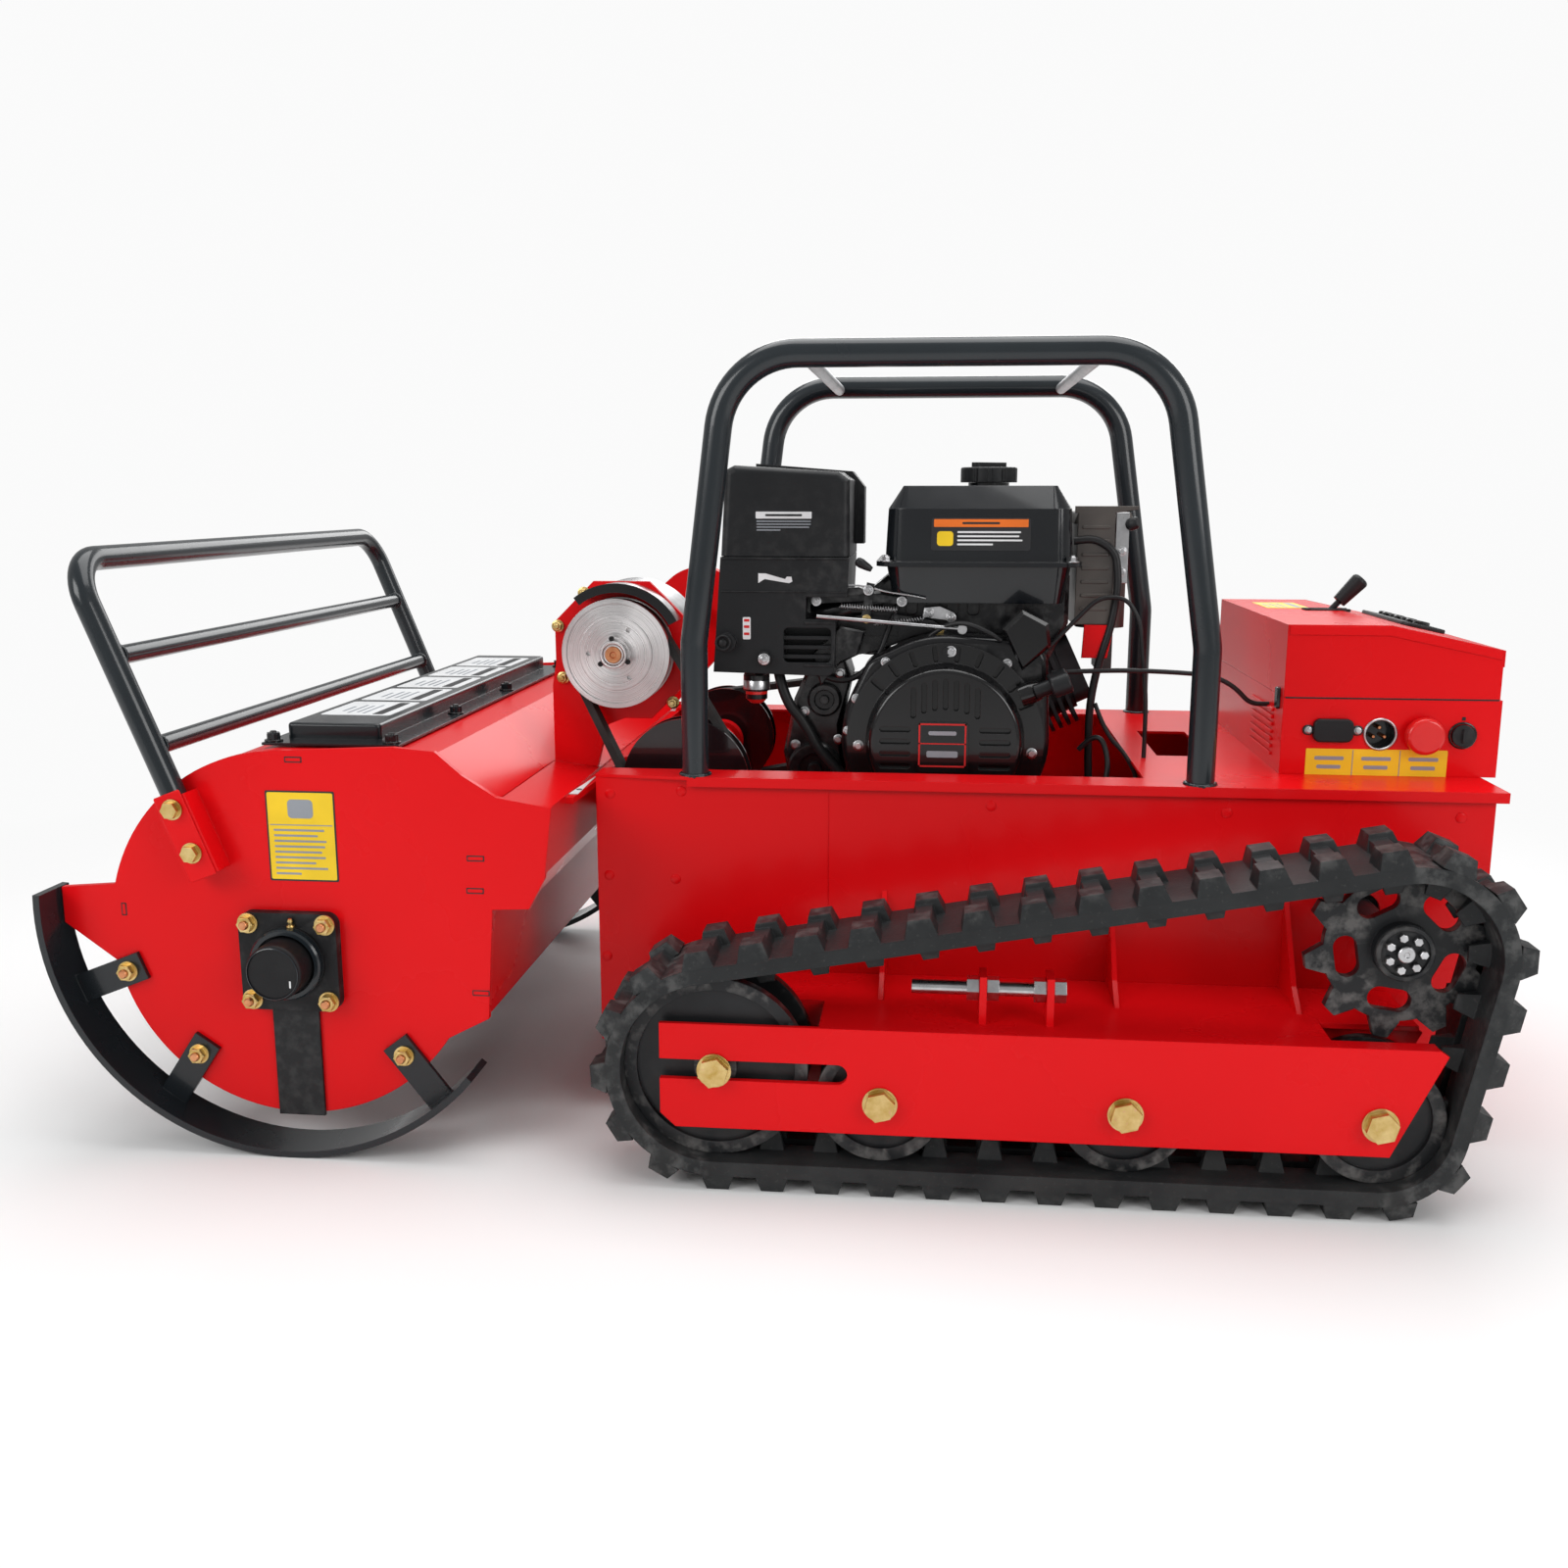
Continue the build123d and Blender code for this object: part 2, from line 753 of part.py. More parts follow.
def make_filter_base():
    plane, depth = slab(*filter_y)
    with BuildPart() as base:
        with BuildSketch(plane):
            Polygon(
                (-100, 538), (54, 534), (56, 606), (18, 606), (18, 634), (70, 634),
                (72, filter_seam - 1), (-90, filter_seam - 1), align=None,
            )
        extrude(amount=depth)
        corners = base.edges().filter_by(Axis.Y).group_by(Axis.Z)[0]
        fillet(corners, 10)
        with BuildSketch(side_plane(filter_y[0] + 26)):
            with Locations((20, 573)):
                RectangleRounded(60, 44, 6)
        extrude(amount=27, mode=Mode.SUBTRACT)
        with BuildSketch(side_plane(filter_y[0] + 20)):
            with Locations((22, 582), (22, 570), (22, 558)):
                Rectangle(64, 5)
        extrude(amount=14)
        with BuildSketch(side_plane(filter_y[0])):
            with Locations((-90 + 8, 576)):
                Circle(12)
            with Locations((-34, 556)):
                Circle(9)
        extrude(amount=9)
    return base.part


def make_filter_cover():
    plane, depth = slab(*filter_y)
    with BuildPart() as cover:
        with BuildSketch(plane):
            Polygon(
                (-90, filter_seam), (72, filter_seam), (72, 778), (58, 788), (-72, 796),
                (-84, 790), align=None,
            )
        extrude(amount=depth)
        fillet(cover.faces().sort_by(Axis.Y)[0].edges().filter_by(lambda e: e.center().Z > filter_seam + 1), 9)
        with BuildSketch(side_plane(filter_y[1] + 1)):
            Polygon((-60, filter_seam + 12), (84, filter_seam + 12), (84, 770), (68, 790), (-60, 800),
                    align=None)
        extrude(amount=46)
    return cover.part


def make_carburettor():
    with BuildPart() as carb:
        with Locations((104, -84, 602)):
            Box(58, 54, 40)
        with Locations((104, -84, 574)):
            Cylinder(20, 34)
        with Locations((-48, -122, 522)):
            Cylinder(17, 20)
        with Locations((-48, -122, 507)):
            Cylinder(14, 12)
        with Locations(Location((150, -84, 600), (0, 90, 0))):
            Cylinder(17, 40)
        with Locations((102, -118, 616)):
            Box(56, 16, 6)
        with Locations(Location((92, -120, 620), (90, 0, 0))):
            Cylinder(5, 20)
    return carb.part


def make_muffler():
    """Silencer behind the tank in its box guard, with an outlet stub at the back."""
    with BuildPart() as muffler:
        with BuildSketch(Plane.XY.offset(592)):
            with Locations((392, 10)):
                RectangleRounded(62, 176, 22)
        extrude(amount=132)
        with BuildSketch(Plane.XY.offset(724)):
            with Locations((390, 4)):
                RectangleRounded(76, 196, 8)
        extrude(amount=14, taper=20)
        with Locations(Location((404, 96, 640), (60, 0, 0))):
            Cylinder(14, 70)
        with Locations((402, -6, 564)):
            Box(20, 60, 60)
    return muffler.part


def make_throttle_rod():
    with BuildPart() as rod:
        with Locations(Location((125, -156, 603), (0, 94.5, 0))):
            Cylinder(2.6, 186)
        with Locations(Location((214, -156, 596), (90, 0, 0))):
            Cylinder(6, 9)
    return rod.part


# ---------------------------------------------------------------- control box

def make_control_box():
    base = deck_z + 4
    with BuildPart() as box:
        with BuildSketch(Plane.XY.offset(base)):
            with Locations(((box_front + box_rear) / 2, 0)):
                Rectangle(box_rear - box_front, 2 * box_half)
        extrude(amount=box_seam - base)
        with Locations(((box_front + box_rear) / 2, 0, base + 4 + 60)):
            Box(box_rear - box_front - 6, 2 * box_half - 6, 120, mode=Mode.SUBTRACT)
        with BuildSketch(side_plane(-box_half + 5)):
            with Locations((inlet_x, panel_z + 4)):
                Rectangle(30, 20)
            with Locations((outlet_x, panel_z)):
                Circle(17)
            with Locations((stop_x, panel_z)):
                Circle(11)
            with Locations((key_x, panel_z)):
                Circle(9)
        extrude(amount=10, mode=Mode.SUBTRACT)
    return box.part


def make_control_lid():
    """Sloped lid with a turned-down rim, hinged along its rear lower edge."""
    low = box_seam + lid_gap
    with BuildPart() as lid:
        with BuildSketch(side_plane(box_half)):
            Polygon(
                (box_front, low), (box_rear - 3, low), (box_rear - 3, lid_rear_z),
                (lid_fold, lid_top), (box_front, lid_top), align=None,
            )
        extrude(amount=2 * box_half)
        with BuildSketch(side_plane(box_half - 3)):
            Polygon(
                (box_front + 3, low - 1), (box_rear - 6, low - 1), (box_rear - 6, lid_rear_z - 3),
                (lid_fold - 1, lid_top - 3), (box_front + 3, lid_top - 3), align=None,
            )
        extrude(amount=2 * box_half - 6, mode=Mode.SUBTRACT)
        with Locations((lever_x + 5, lever_y, lid_top)):
            Box(44, 11, 12, mode=Mode.SUBTRACT)
        for side in (-1, 1):
            with Locations((lever_x, lever_y + side * 6.2, lever_pivot_z + 1)):
                Box(24, 3, 22)
    return lid.part


def make_drive_lever():
    stem = Plane(origin=(lever_x, lever_y, lever_pivot_z), x_dir=(0, 1, 0),
                 z_dir=(sin(radians(lever_lean)), 0, cos(radians(lever_lean))))
    with BuildPart() as lever:
        with Locations(Location((lever_x, lever_y, lever_pivot_z), (90, 0, 0))):
            Cylinder(7, 8)
        with BuildSketch(stem):
            Circle(4)
        extrude(amount=40)
        with BuildSketch(stem.offset(31)):
            Circle(9)
        extrude(amount=41, taper=-4)
        fillet(lever.edges().filter_by(GeomType.CIRCLE).sort_by(Axis.Z)[-1], 5)
    return lever.part


def make_battery():
    base = deck_z + 8.2
    with BuildPart() as battery:
        with Locations((668, 70, base + 40)):
            Box(120, 180, 80)
        with Locations((640, 20, base + 84), (640, 120, base + 84)):
            Cylinder(7, 10)
    return battery.part


def make_socket_cover():
    """Rubber flap over the charging inlet, hinged along its top edge."""
    with BuildPart() as flap:
        with BuildSketch(side_plane(-box_half - 0.3)):
            with Locations((inlet_x, panel_z + 4)):
                RectangleRounded(46, 28, 8)
        extrude(amount=7)
        fillet(flap.faces().sort_by(Axis.Y)[0].edges(), 2)
    return flap.part


def make_stop_button():
    with BuildPart() as button:
        with BuildSketch(side_plane(-box_half - 7)):
            with Locations((stop_x, panel_z)):
                Circle(22)
        extrude(amount=12)
        fillet(button.faces().sort_by(Axis.Y)[0].edges(), 5)
        with BuildSketch(side_plane(-box_half + 22)):
            with Locations((stop_x, panel_z)):
                Circle(10.5)
        extrude(amount=30)
    return button.part


def make_key_switch():
    with BuildPart() as key:
        with BuildSketch(side_plane(-box_half + 18)):
            with Locations((key_x, panel_z)):
                Circle(8.6)
        extrude(amount=19)
        with BuildSketch(side_plane(-box_half - 0.4)):
            with Locations((key_x, panel_z)):
                Circle(13)
        extrude(amount=5)
        with BuildSketch(side_plane(-box_half - 5)):
            with Locations((key_x, panel_z)):
                SlotOverall(16, 4, rotation=90)
        extrude(amount=4)
    return key.part


# ---------------------------------------------------------------- drive line

def make_layshaft():
    """Shaft on the head's hinge line with a flanged pulley at each end."""
    near_low, near_high = pulley_y
    far_low, far_high = engine_belt_y
    with BuildPart() as layshaft:
        for low, high, radius in (
            (near_low - 2, far_high + 6, lay_radius),
            (near_low, near_low + 4, 80),
            (near_low + 4, near_high - 4, 66),
            (near_high - 4, near_high, 80),
            (far_low - 4, far_low, lay_pulley_radius + belt_section + 3),
            (far_low, far_high, lay_pulley_radius),
            (far_high, far_high + 4, lay_pulley_radius + belt_section + 3),
        ):
            plane, width = slab(low, high)
            with BuildSketch(plane):
                with Locations((lay_x, lay_z)):
                    Circle(radius)
            extrude(amount=width)
    return layshaft.part


def make_engine_pulley():
    """Output pulley on the crankshaft, which runs right through the crankcase."""
    low, high = engine_belt_y
    rim = engine_pulley_radius + belt_section + 3
    with BuildPart() as pulley:
        for start, end, radius in (
            (-139, high + 8, crank_radius),
            (low - 4, low, rim),
            (low, high, engine_pulley_radius),
            (high, high + 4, rim),
        ):
            plane, width = slab(start, end)
            with BuildSketch(plane):
                with Locations((crank_x, crank_z)):
                    Circle(radius)
            extrude(amount=width)
    return pulley.part


def belt_band(first, second, extra):
    with BuildSketch(Plane.XY) as band:
        with BuildLine():
            for x, z, radius in (first, second):
                CenterArc((x, z), radius + extra, 0, 360)
        make_hull()
    return band.face()


def make_belt(first, second, low, high):
    """V-belt loop round two pulleys, a hair clear of both."""
    with BuildPart() as belt:
        with BuildSketch(side_plane(high)):
            add(belt_band(first, second, roll_gap + belt_section))
            add(belt_band(first, second, roll_gap), mode=Mode.SUBTRACT)
        extrude(amount=high - low)
    return belt.part


def make_clutch_pulley():
    """Machined pulley on the cross shaft over the hinge."""
    low, high = pulley_y
    with BuildPart() as pulley:
        for start, end, radius in (
            (low - 4, low, clutch_radius),
            (low, low + 4, clutch_radius),
            (low + 4, high - 4, clutch_radius - 11),
            (high - 4, high, clutch_radius),
            (low - 12, low - 4, 20),
            (low - 16, case_y[0] + 20, cross_radius),
        ):
            plane, width = slab(start, end)
            with BuildSketch(plane):
                with Locations((clutch_x, clutch_z)):
                    Circle(radius)
            extrude(amount=width)
        with BuildSketch(side_plane(low - 4)):
            with Locations((clutch_x, clutch_z)):
                Circle(clutch_radius - 6)
                Circle(clutch_radius - 22, mode=Mode.SUBTRACT)
        extrude(amount=-1.5, mode=Mode.SUBTRACT)
        with BuildSketch(side_plane(low - 4)):
            with Locations((clutch_x, clutch_z)):
                with PolarLocations(34, 3, start_angle=60):
                    Circle(3)
        extrude(amount=-4, mode=Mode.SUBTRACT)
    return pulley.part


# ---------------------------------------------------------------- head

def side_arc_point(radius, angle):
    """Point on a circle about the centre of the head's round nose."""
    return (side_arc_x + radius * cos(radians(angle)), side_arc_z + radius * sin(radians(angle)))


def side_outline():
    """Head side plate: a big round front with a stepped tail for the beam."""
    front_top = (side_arc_x - 18, side_arc_z + sqrt(side_arc ** 2 - 18 ** 2))
    nose_top = side_arc_point(side_arc, 165)
    nose_low = side_arc_point(side_arc, 190)
    rear_start = side_arc_point(side_arc, -33)
    with BuildSketch(Plane.XY) as outline:
        with BuildLine():
            Line((-423, 482), front_top)
            ThreePointArc(front_top, side_arc_point(side_arc, 130), nose_top)
            Polyline(nose_top, (-833, 309), (-833, 266), nose_low)
            ThreePointArc(nose_low, side_arc_point(side_arc, 270), rear_start)
            Polyline(
                rear_start, (-324, 165), (-315, 296), (-272, 298), (-253, 333), (-243, 416),
                (-306, 427), (-345, 452), (-375, 478), (-423, 482),
            )
        make_face()
    return outline.face()


def bearing_places():
    half = bearing_spacing / 2
    return [(drum_x + dx, drum_z + dz) for dx in (-half, half) for dz in (-half, half)]


def tab_places():
    return [
        (side_arc_x + tab_bolt_circle * cos(radians(a)), skid_arc_z + tab_bolt_circle * sin(radians(a)))
        for a in tab_angles
    ]


def leg_x(z):
    """X of the guard's leg axis at height z."""
    lean = (guard_top[0] - guard_foot[0]) / (guard_top[1] - guard_foot[1])
    return guard_foot[0] + lean * (z - guard_foot[1])


def leg_plane(side, z):
    """Plane square to a guard leg, its Z axis up the leg."""
    direction = Vector(guard_top[0] - guard_foot[0], 0, guard_top[1] - guard_foot[1])
    return Plane(origin=(leg_x(z), side * guard_y, z), x_dir=(0, 1, 0), z_dir=direction)


def make_head_side(side):
    plane, width = span(side, side_outer - side_thick, side_outer)
    slot = 25.0
    with BuildPart() as plate:
        with BuildSketch(plane):
            add(side_outline())
            with Locations((drum_x, drum_z)):
                Circle(40, mode=Mode.SUBTRACT)
            with Locations((drum_x, drum_z - 110)):
                Rectangle(2 * slot, 220, mode=Mode.SUBTRACT)
        extrude(amount=width)
        socket_low = guard_foot[1] - 4
        with BuildSketch(leg_plane(side, socket_low)):
            with Locations((-side * 1, 0)):
                Rectangle(2 * (guard_y - side_outer), 40)
        extrude(amount=96)
        with BuildSketch(leg_plane(side, socket_low - 5)):
            Circle(guard_tube + 0.1)
        extrude(amount=110, mode=Mode.SUBTRACT)
        for mark_x, mark_z in ((-540.0, 466.0), (-332.0, 356.0), (-334.0, 318.0), (-332.0, 196.0)):
            face_plane, _ = span(side, side_outer - 0.8, side_outer + 1)
            with BuildSketch(face_plane):
                with Locations((mark_x, mark_z)):
                    Rectangle(16, 3)
            extrude(amount=1.8, mode=Mode.SUBTRACT)
    return plate.part


def make_slot_covers():
    with BuildPart() as covers:
        for side in (-1, 1):
            plane, width = span(side, side_outer, side_outer + 4)
            with BuildSketch(plane):
                with Locations((drum_x, (38 + drum_z - flange_bearing / 2 - 1) / 2)):
                    Rectangle(56, drum_z - flange_bearing / 2 - 1 - 38)
            extrude(amount=width)
    return covers.part


def shell_line(inset):
    """Open line of the hood sheet seen from the side."""
    radius = side_arc - inset
    top = shell_top - inset
    start = (side_arc_x - 18, side_arc_z + sqrt(radius ** 2 - 18 ** 2))
    ThreePointArc(side_arc_point(radius, 170), side_arc_point(radius, 132), start)
    Polyline(start, (-430, top), (-378, top), (-312, 424 - inset), (-312, 300), (-328, 290), (-328, 168))


def make_head_shell():
    with BuildPart() as shell:
        with BuildSketch(side_plane(inner_half)):
            with BuildLine():
                shell_line(shell_thick / 2 + 2)
            trace(line_width=shell_thick)
        extrude(amount=2 * inner_half)
    return shell.part


def arm_outline():
    with BuildSketch(Plane.XY) as arm:
        with BuildLine():
            CenterArc((lay_x, lay_z), 26, 0, 360)
            CenterArc((-262, 374), 34, 0, 360)
        make_hull()
    return arm.face()


def make_lift_frame():
    """Rear beam, hinge arms, gussets and the plate that carries the cross shaft."""
    plate_low, plate_high = -166.0, -157.0
    beam = ((-247, 414), (-306, 422), (-306, 303), (-277, 302), (-257, 335))
    with BuildPart() as lift:
        with BuildSketch(side_plane(inner_half)):
            Polygon(*beam, align=None)
        extrude(amount=2 * inner_half)
        with BuildSketch(side_plane(inner_half - 8)):
            Polygon((-252, 409), (-301, 416), (-301, 308), (-280, 307), (-262, 337), align=None)
        extrude(amount=2 * inner_half - 16, mode=Mode.SUBTRACT)
        for low, high in ((-88, -76), (76, 88)):
            arm_plane, arm = slab(low, high)
            with BuildSketch(arm_plane):
                add(arm_outline())
            extrude(amount=arm)
        with BuildSketch(Plane.XY.offset(404)):
            Polygon(
                (-250, -346), (-238, -346), (-232, -190), (-232, 190), (-238, 346),
                (-250, 346), align=None,
            )
        extrude(amount=8)
        with BuildSketch(side_plane(plate_high)):
            with Locations((clutch_x, clutch_z)):
                RegularPolygon(94, 8, rotation=22.5)
            Polygon(
                (-306, 421), (-250, 415), (-236, 470), (-160, 500), (-290, 610), (-306, 520),
                align=None,
            )
        extrude(amount=plate_high - plate_low)
        with BuildSketch(side_plane(plate_high + 24)):
            with Locations((clutch_x, clutch_z)):
                Circle(32)
        extrude(amount=24)
        with BuildSketch(side_plane(500)):
            with Locations((clutch_x, clutch_z)):
                Circle(cross_radius + run_gap)
            with Locations((lay_x, lay_z)):
                Circle(lay_radius + run_gap)
        extrude(amount=1000, mode=Mode.SUBTRACT)
    return lift.part


def make_head_cover():
    flange_x = (-592.0, -428.0)
    raised_x = (-574.0, -461.0)
    with BuildPart() as cover:
        with BuildSketch(Plane.XY.offset(shell_top)):
            with Locations(((flange_x[0] + flange_x[1]) / 2, 0)):
                Rectangle(flange_x[1] - flange_x[0], 2 * cover_half + 60)
        extrude(amount=3)
        with BuildSketch(Plane.XY.offset(shell_top + 3)):
            with Locations(((raised_x[0] + raised_x[1]) / 2, 0)):
                RectangleRounded(raised_x[1] - raised_x[0], 2 * cover_half, 6)
        extrude(amount=19)
        fillet(cover.faces().sort_by(Axis.Z)[-1].edges(), 4)
        with BuildSketch(Plane.XY.offset(shell_top + 3)):
            with Locations((-583, -381), (-583, 381)):
                RegularPolygon(8, 6)
            with Locations(*[(-441, y) for y in (-381, -150, 80, 381)]):
                RegularPolygon(8, 6)
        extrude(amount=10)
    return cover.part


def make_flange_bearings():
    """Square-flange bearing units either side of the drum, the left one capped."""
    with BuildPart() as bearings:
        for side in (-1, 1):
            flange_plane, flange = span(side, side_outer, side_outer + 13)
            with BuildSketch(flange_plane):
                with Locations((drum_x, drum_z)):
                    RectangleRounded(flange_bearing, flange_bearing, 14)
            extrude(amount=flange)
            boss_plane, boss = span(side, side_outer + 13, side_outer + 17)
            with BuildSketch(boss_plane):
                with Locations((drum_x, drum_z)):
                    Circle(44)
            extrude(amount=boss)
            bore_plane, bore = span(side, side_outer - 20, side_outer + 40)
            with BuildSketch(bore_plane):
                with Locations((drum_x, drum_z)):
                    Circle(drum_shaft + run_gap)
                with Locations(*bearing_places()):
                    Circle(6.6)
            extrude(amount=bore, mode=Mode.SUBTRACT)
        cap_plane, cap = span(-1, side_outer + 17, side_outer + 56)
        with BuildSketch(cap_plane):
            with Locations((drum_x, drum_z)):
                Circle(33)
        extrude(amount=cap)
        fillet(bearings.faces().sort_by(Axis.Y)[0].edges(), 5)
        hollow_plane, hollow = span(-1, side_outer + 10, side_outer + 48)
        with BuildSketch(hollow_plane):
            with Locations((drum_x, drum_z)):
                Circle(26)
        extrude(amount=hollow, mode=Mode.SUBTRACT)
    return bearings.part


def make_skids():
    rear, front = skid_angles
    with BuildPart() as skids:
        for side in (-1, 1):
            plane, width = span(side, *skid_y)
            with BuildSketch(plane):
                with BuildLine():
                    CenterArc((side_arc_x, skid_arc_z), skid_arc - skid_thick / 2, front, 360 + rear - front)
                trace(line_width=skid_thick)
            extrude(amount=width)
            tab_plane, tab = span(side, side_outer, side_outer + 6)
            reach = skid_arc - skid_thick - tab_bolt_circle
            with BuildSketch(tab_plane):
                for angle in tab_angles:
                    middle = tab_bolt_circle + (reach - 18) / 2
                    spot = (side_arc_x + middle * cos(radians(angle)), skid_arc_z + middle * sin(radians(angle)))
                    with Locations(spot):
                        Rectangle(reach + 20, 34, rotation=angle)
                with Locations(*tab_places()):
                    Circle(5.6, mode=Mode.SUBTRACT)
            extrude(amount=tab)
    return skids.part


def make_guard_rail():
    top_x, top_z = guard_top
    foot_x, foot_z = guard_foot
    with BuildPart() as guard:
        with BuildLine() as path:
            FilletPolyline(
                (foot_x, -guard_y, foot_z), (top_x, -guard_y, top_z),
                (top_x, guard_y, top_z), (foot_x, guard_y, foot_z), radius=52,
            )
        with BuildSketch(Plane(origin=path.line @ 0, z_dir=path.line % 0)):
            Circle(guard_tube)
        sweep()
        for z in (guard_mid_z, guard_low_z):
            with Locations(Location((leg_x(z), 0, z), (90, 0, 0))):
                Cylinder(guard_rail_tube, 2 * guard_y)
    return guard.part


def bolt_spots(side):
    """Where the yellow-zinc bolts sit: bearing, skid tabs, guard sockets."""
    spots = [(x, z, side_outer + 13) for x, z in bearing_places()]
    spots += [(x, z, side_outer + 6) for x, z in tab_places()]
    spots += [(leg_x(z), z, guard_y + guard_y - side_outer + 1) for z in (362.0, 412.0)]
    return spots


def make_head_bolts():
    with BuildPart() as bolts:
        for side in (-1, 1):
            for x, z, seat in bolt_spots(side):
                washer_plane, washer = span(side, seat, seat + 2.2)
                head_plane, head = span(side, seat + 2.2, seat + 10)
                with BuildSketch(washer_plane):
                    with Locations((x, z)):
                        Circle(12)
                extrude(amount=washer)
                with BuildSketch(head_plane):
                    with Locations((x, z)):
                        RegularPolygon(9.8, 6)
                extrude(amount=head)
    return bolts.part


def make_belt_case():
    """Closed case over the drum's drive belt on the right side of the head."""
    low, high = case_y
    with BuildPart() as case:
        with BuildSketch(side_plane(high)):
            with BuildLine():
                CenterArc((clutch_x, clutch_z), 74, 0, 360)
                CenterArc((drum_x, drum_z), 96, 0, 360)
            make_hull()
        extrude(amount=high - low)
        fillet(case.faces().sort_by(Axis.Y)[-1].edges(), 8)
        with BuildSketch(side_plane(high - 4)):
            with BuildLine():
                CenterArc((clutch_x, clutch_z), 68, 0, 360)
                CenterArc((drum_x, drum_z), 90, 0, 360)
            make_hull()
        extrude(amount=high - low - 8, mode=Mode.SUBTRACT)
        with BuildSketch(side_plane(low + 0.5)):
            with Locations(*case_standoffs):
                Circle(12)
        extrude(amount=low + 0.5 - side_outer)
        with BuildSketch(side_plane(low + 6)):
            with Locations((clutch_x, clutch_z)):
                Circle(cross_radius + run_gap)
            with Locations((drum_x, drum_z)):
                Circle(drum_shaft + 3)
        extrude(amount=12, mode=Mode.SUBTRACT)
    return case.part


def make_drum():
    half = side_outer - side_thick - 12
    with BuildPart() as drum:
        with BuildSketch(side_plane(half)):
            with Locations((drum_x, drum_z)):
                Circle(drum_radius)
        extrude(amount=2 * half)
        with BuildSketch(side_plane(half - 8)):
            with Locations((drum_x, drum_z)):
                Circle(drum_radius - 10)
        extrude(amount=2 * half - 16, mode=Mode.SUBTRACT)
        with BuildSketch(side_plane(case_y[0] + 22)):
            with Locations((drum_x, drum_z)):
                Circle(drum_shaft)
        extrude(amount=case_y[0] + 22 + side_outer + 40)
        drive_plane, drive = slab(case_y[0] + 8, case_y[0] + 34)
        with BuildSketch(drive_plane):
            with Locations((drum_x, drum_z)):
                Circle(70)
        extrude(amount=drive)
    return drum.part


def make_drum_teeth():
    """Tooth holders with carbide tips, wound round the drum in two spirals."""
    rows = 13
    half = side_outer - side_thick - 34
    with BuildPart() as teeth:
        for row in range(rows):
            y = -half + 2 * half * row / (rows - 1)
            for start in (0, 180):
                angle = start + 47 * row
                with BuildSketch(side_plane(y + 14)):
                    with Locations(Location((drum_x, drum_z, 0), (0, 0, angle))):
                        Polygon(
                            (drum_radius - 8, -26), (drum_radius + 20, -24), (tooth_reach - 14, -2),
                            (tooth_reach, 10), (tooth_reach - 8, 22), (drum_radius - 8, 26),
                            align=None,
                        )
                extrude(amount=28)
        with BuildSketch(side_plane(half + 20)):
            with Locations((drum_x, drum_z)):
                Circle(drum_radius)
        extrude(amount=2 * half + 40, mode=Mode.SUBTRACT)
    return teeth.part


# ---------------------------------------------------------------- cables

cable_routes = (
    # fuel vent hose from the tank's rear shoulder to the engine deck
    (5.0, ((352, -100, 703), (378, -100, 706), (404, -101, 690), (409, -103, 650),
           (403, -104, 600), (388, -105, 552), (379, -105, 500), (379, -104, 440),
           (382, -104, 380), (382, -104, engine_deck))),
    # ignition lead, arching over to the gland in the rear deck
    (2.8, ((322, -130, 570), (352, -121, 602), (384, -118, 634), (418, -118, 634),
           (436, -118, 604), (441, -118, 560), (447, -118, 512), (448, -118, 470),
           (448, -118, deck_z + 4))),
    # throttle cable to the control box
    (3.0, ((327, -138, 541), (362, -138, 543), (418, -138, 545), (474, -138, 543.5),
           (524, -137, 540), (552, -136, 526), (572, -136, 505), (box_front, -136, 505))),
)


def corner_radii(points):
    """For each corner, the largest arc that leaves both runs a straight end."""
    radii = []
    for before, here, after in zip(points, points[1:], points[2:]):
        first = Vector(*here) - Vector(*before)
        second = Vector(*after) - Vector(*here)
        turn = radians(first.get_angle(second))
        radii.append(0.45 * min(first.length, second.length) / tan(turn / 2))
    return radii


def make_cables():
    """Leads that the machine carries from clip to clip."""
    with BuildPart() as cables:
        for radius, points in cable_routes:
            with BuildLine() as path:
                FilletPolyline(*points, radius=corner_radii(points))
            with BuildSketch(Plane(origin=path.line @ 0, z_dir=path.line % 0)):
                Circle(radius)
            sweep(path=path.wires()[0])
            bends = [round(bend) for bend in corner_radii(points)]
            print("cable length", round(path.wires()[0].length), "bend radii", bends)
    return cables.part


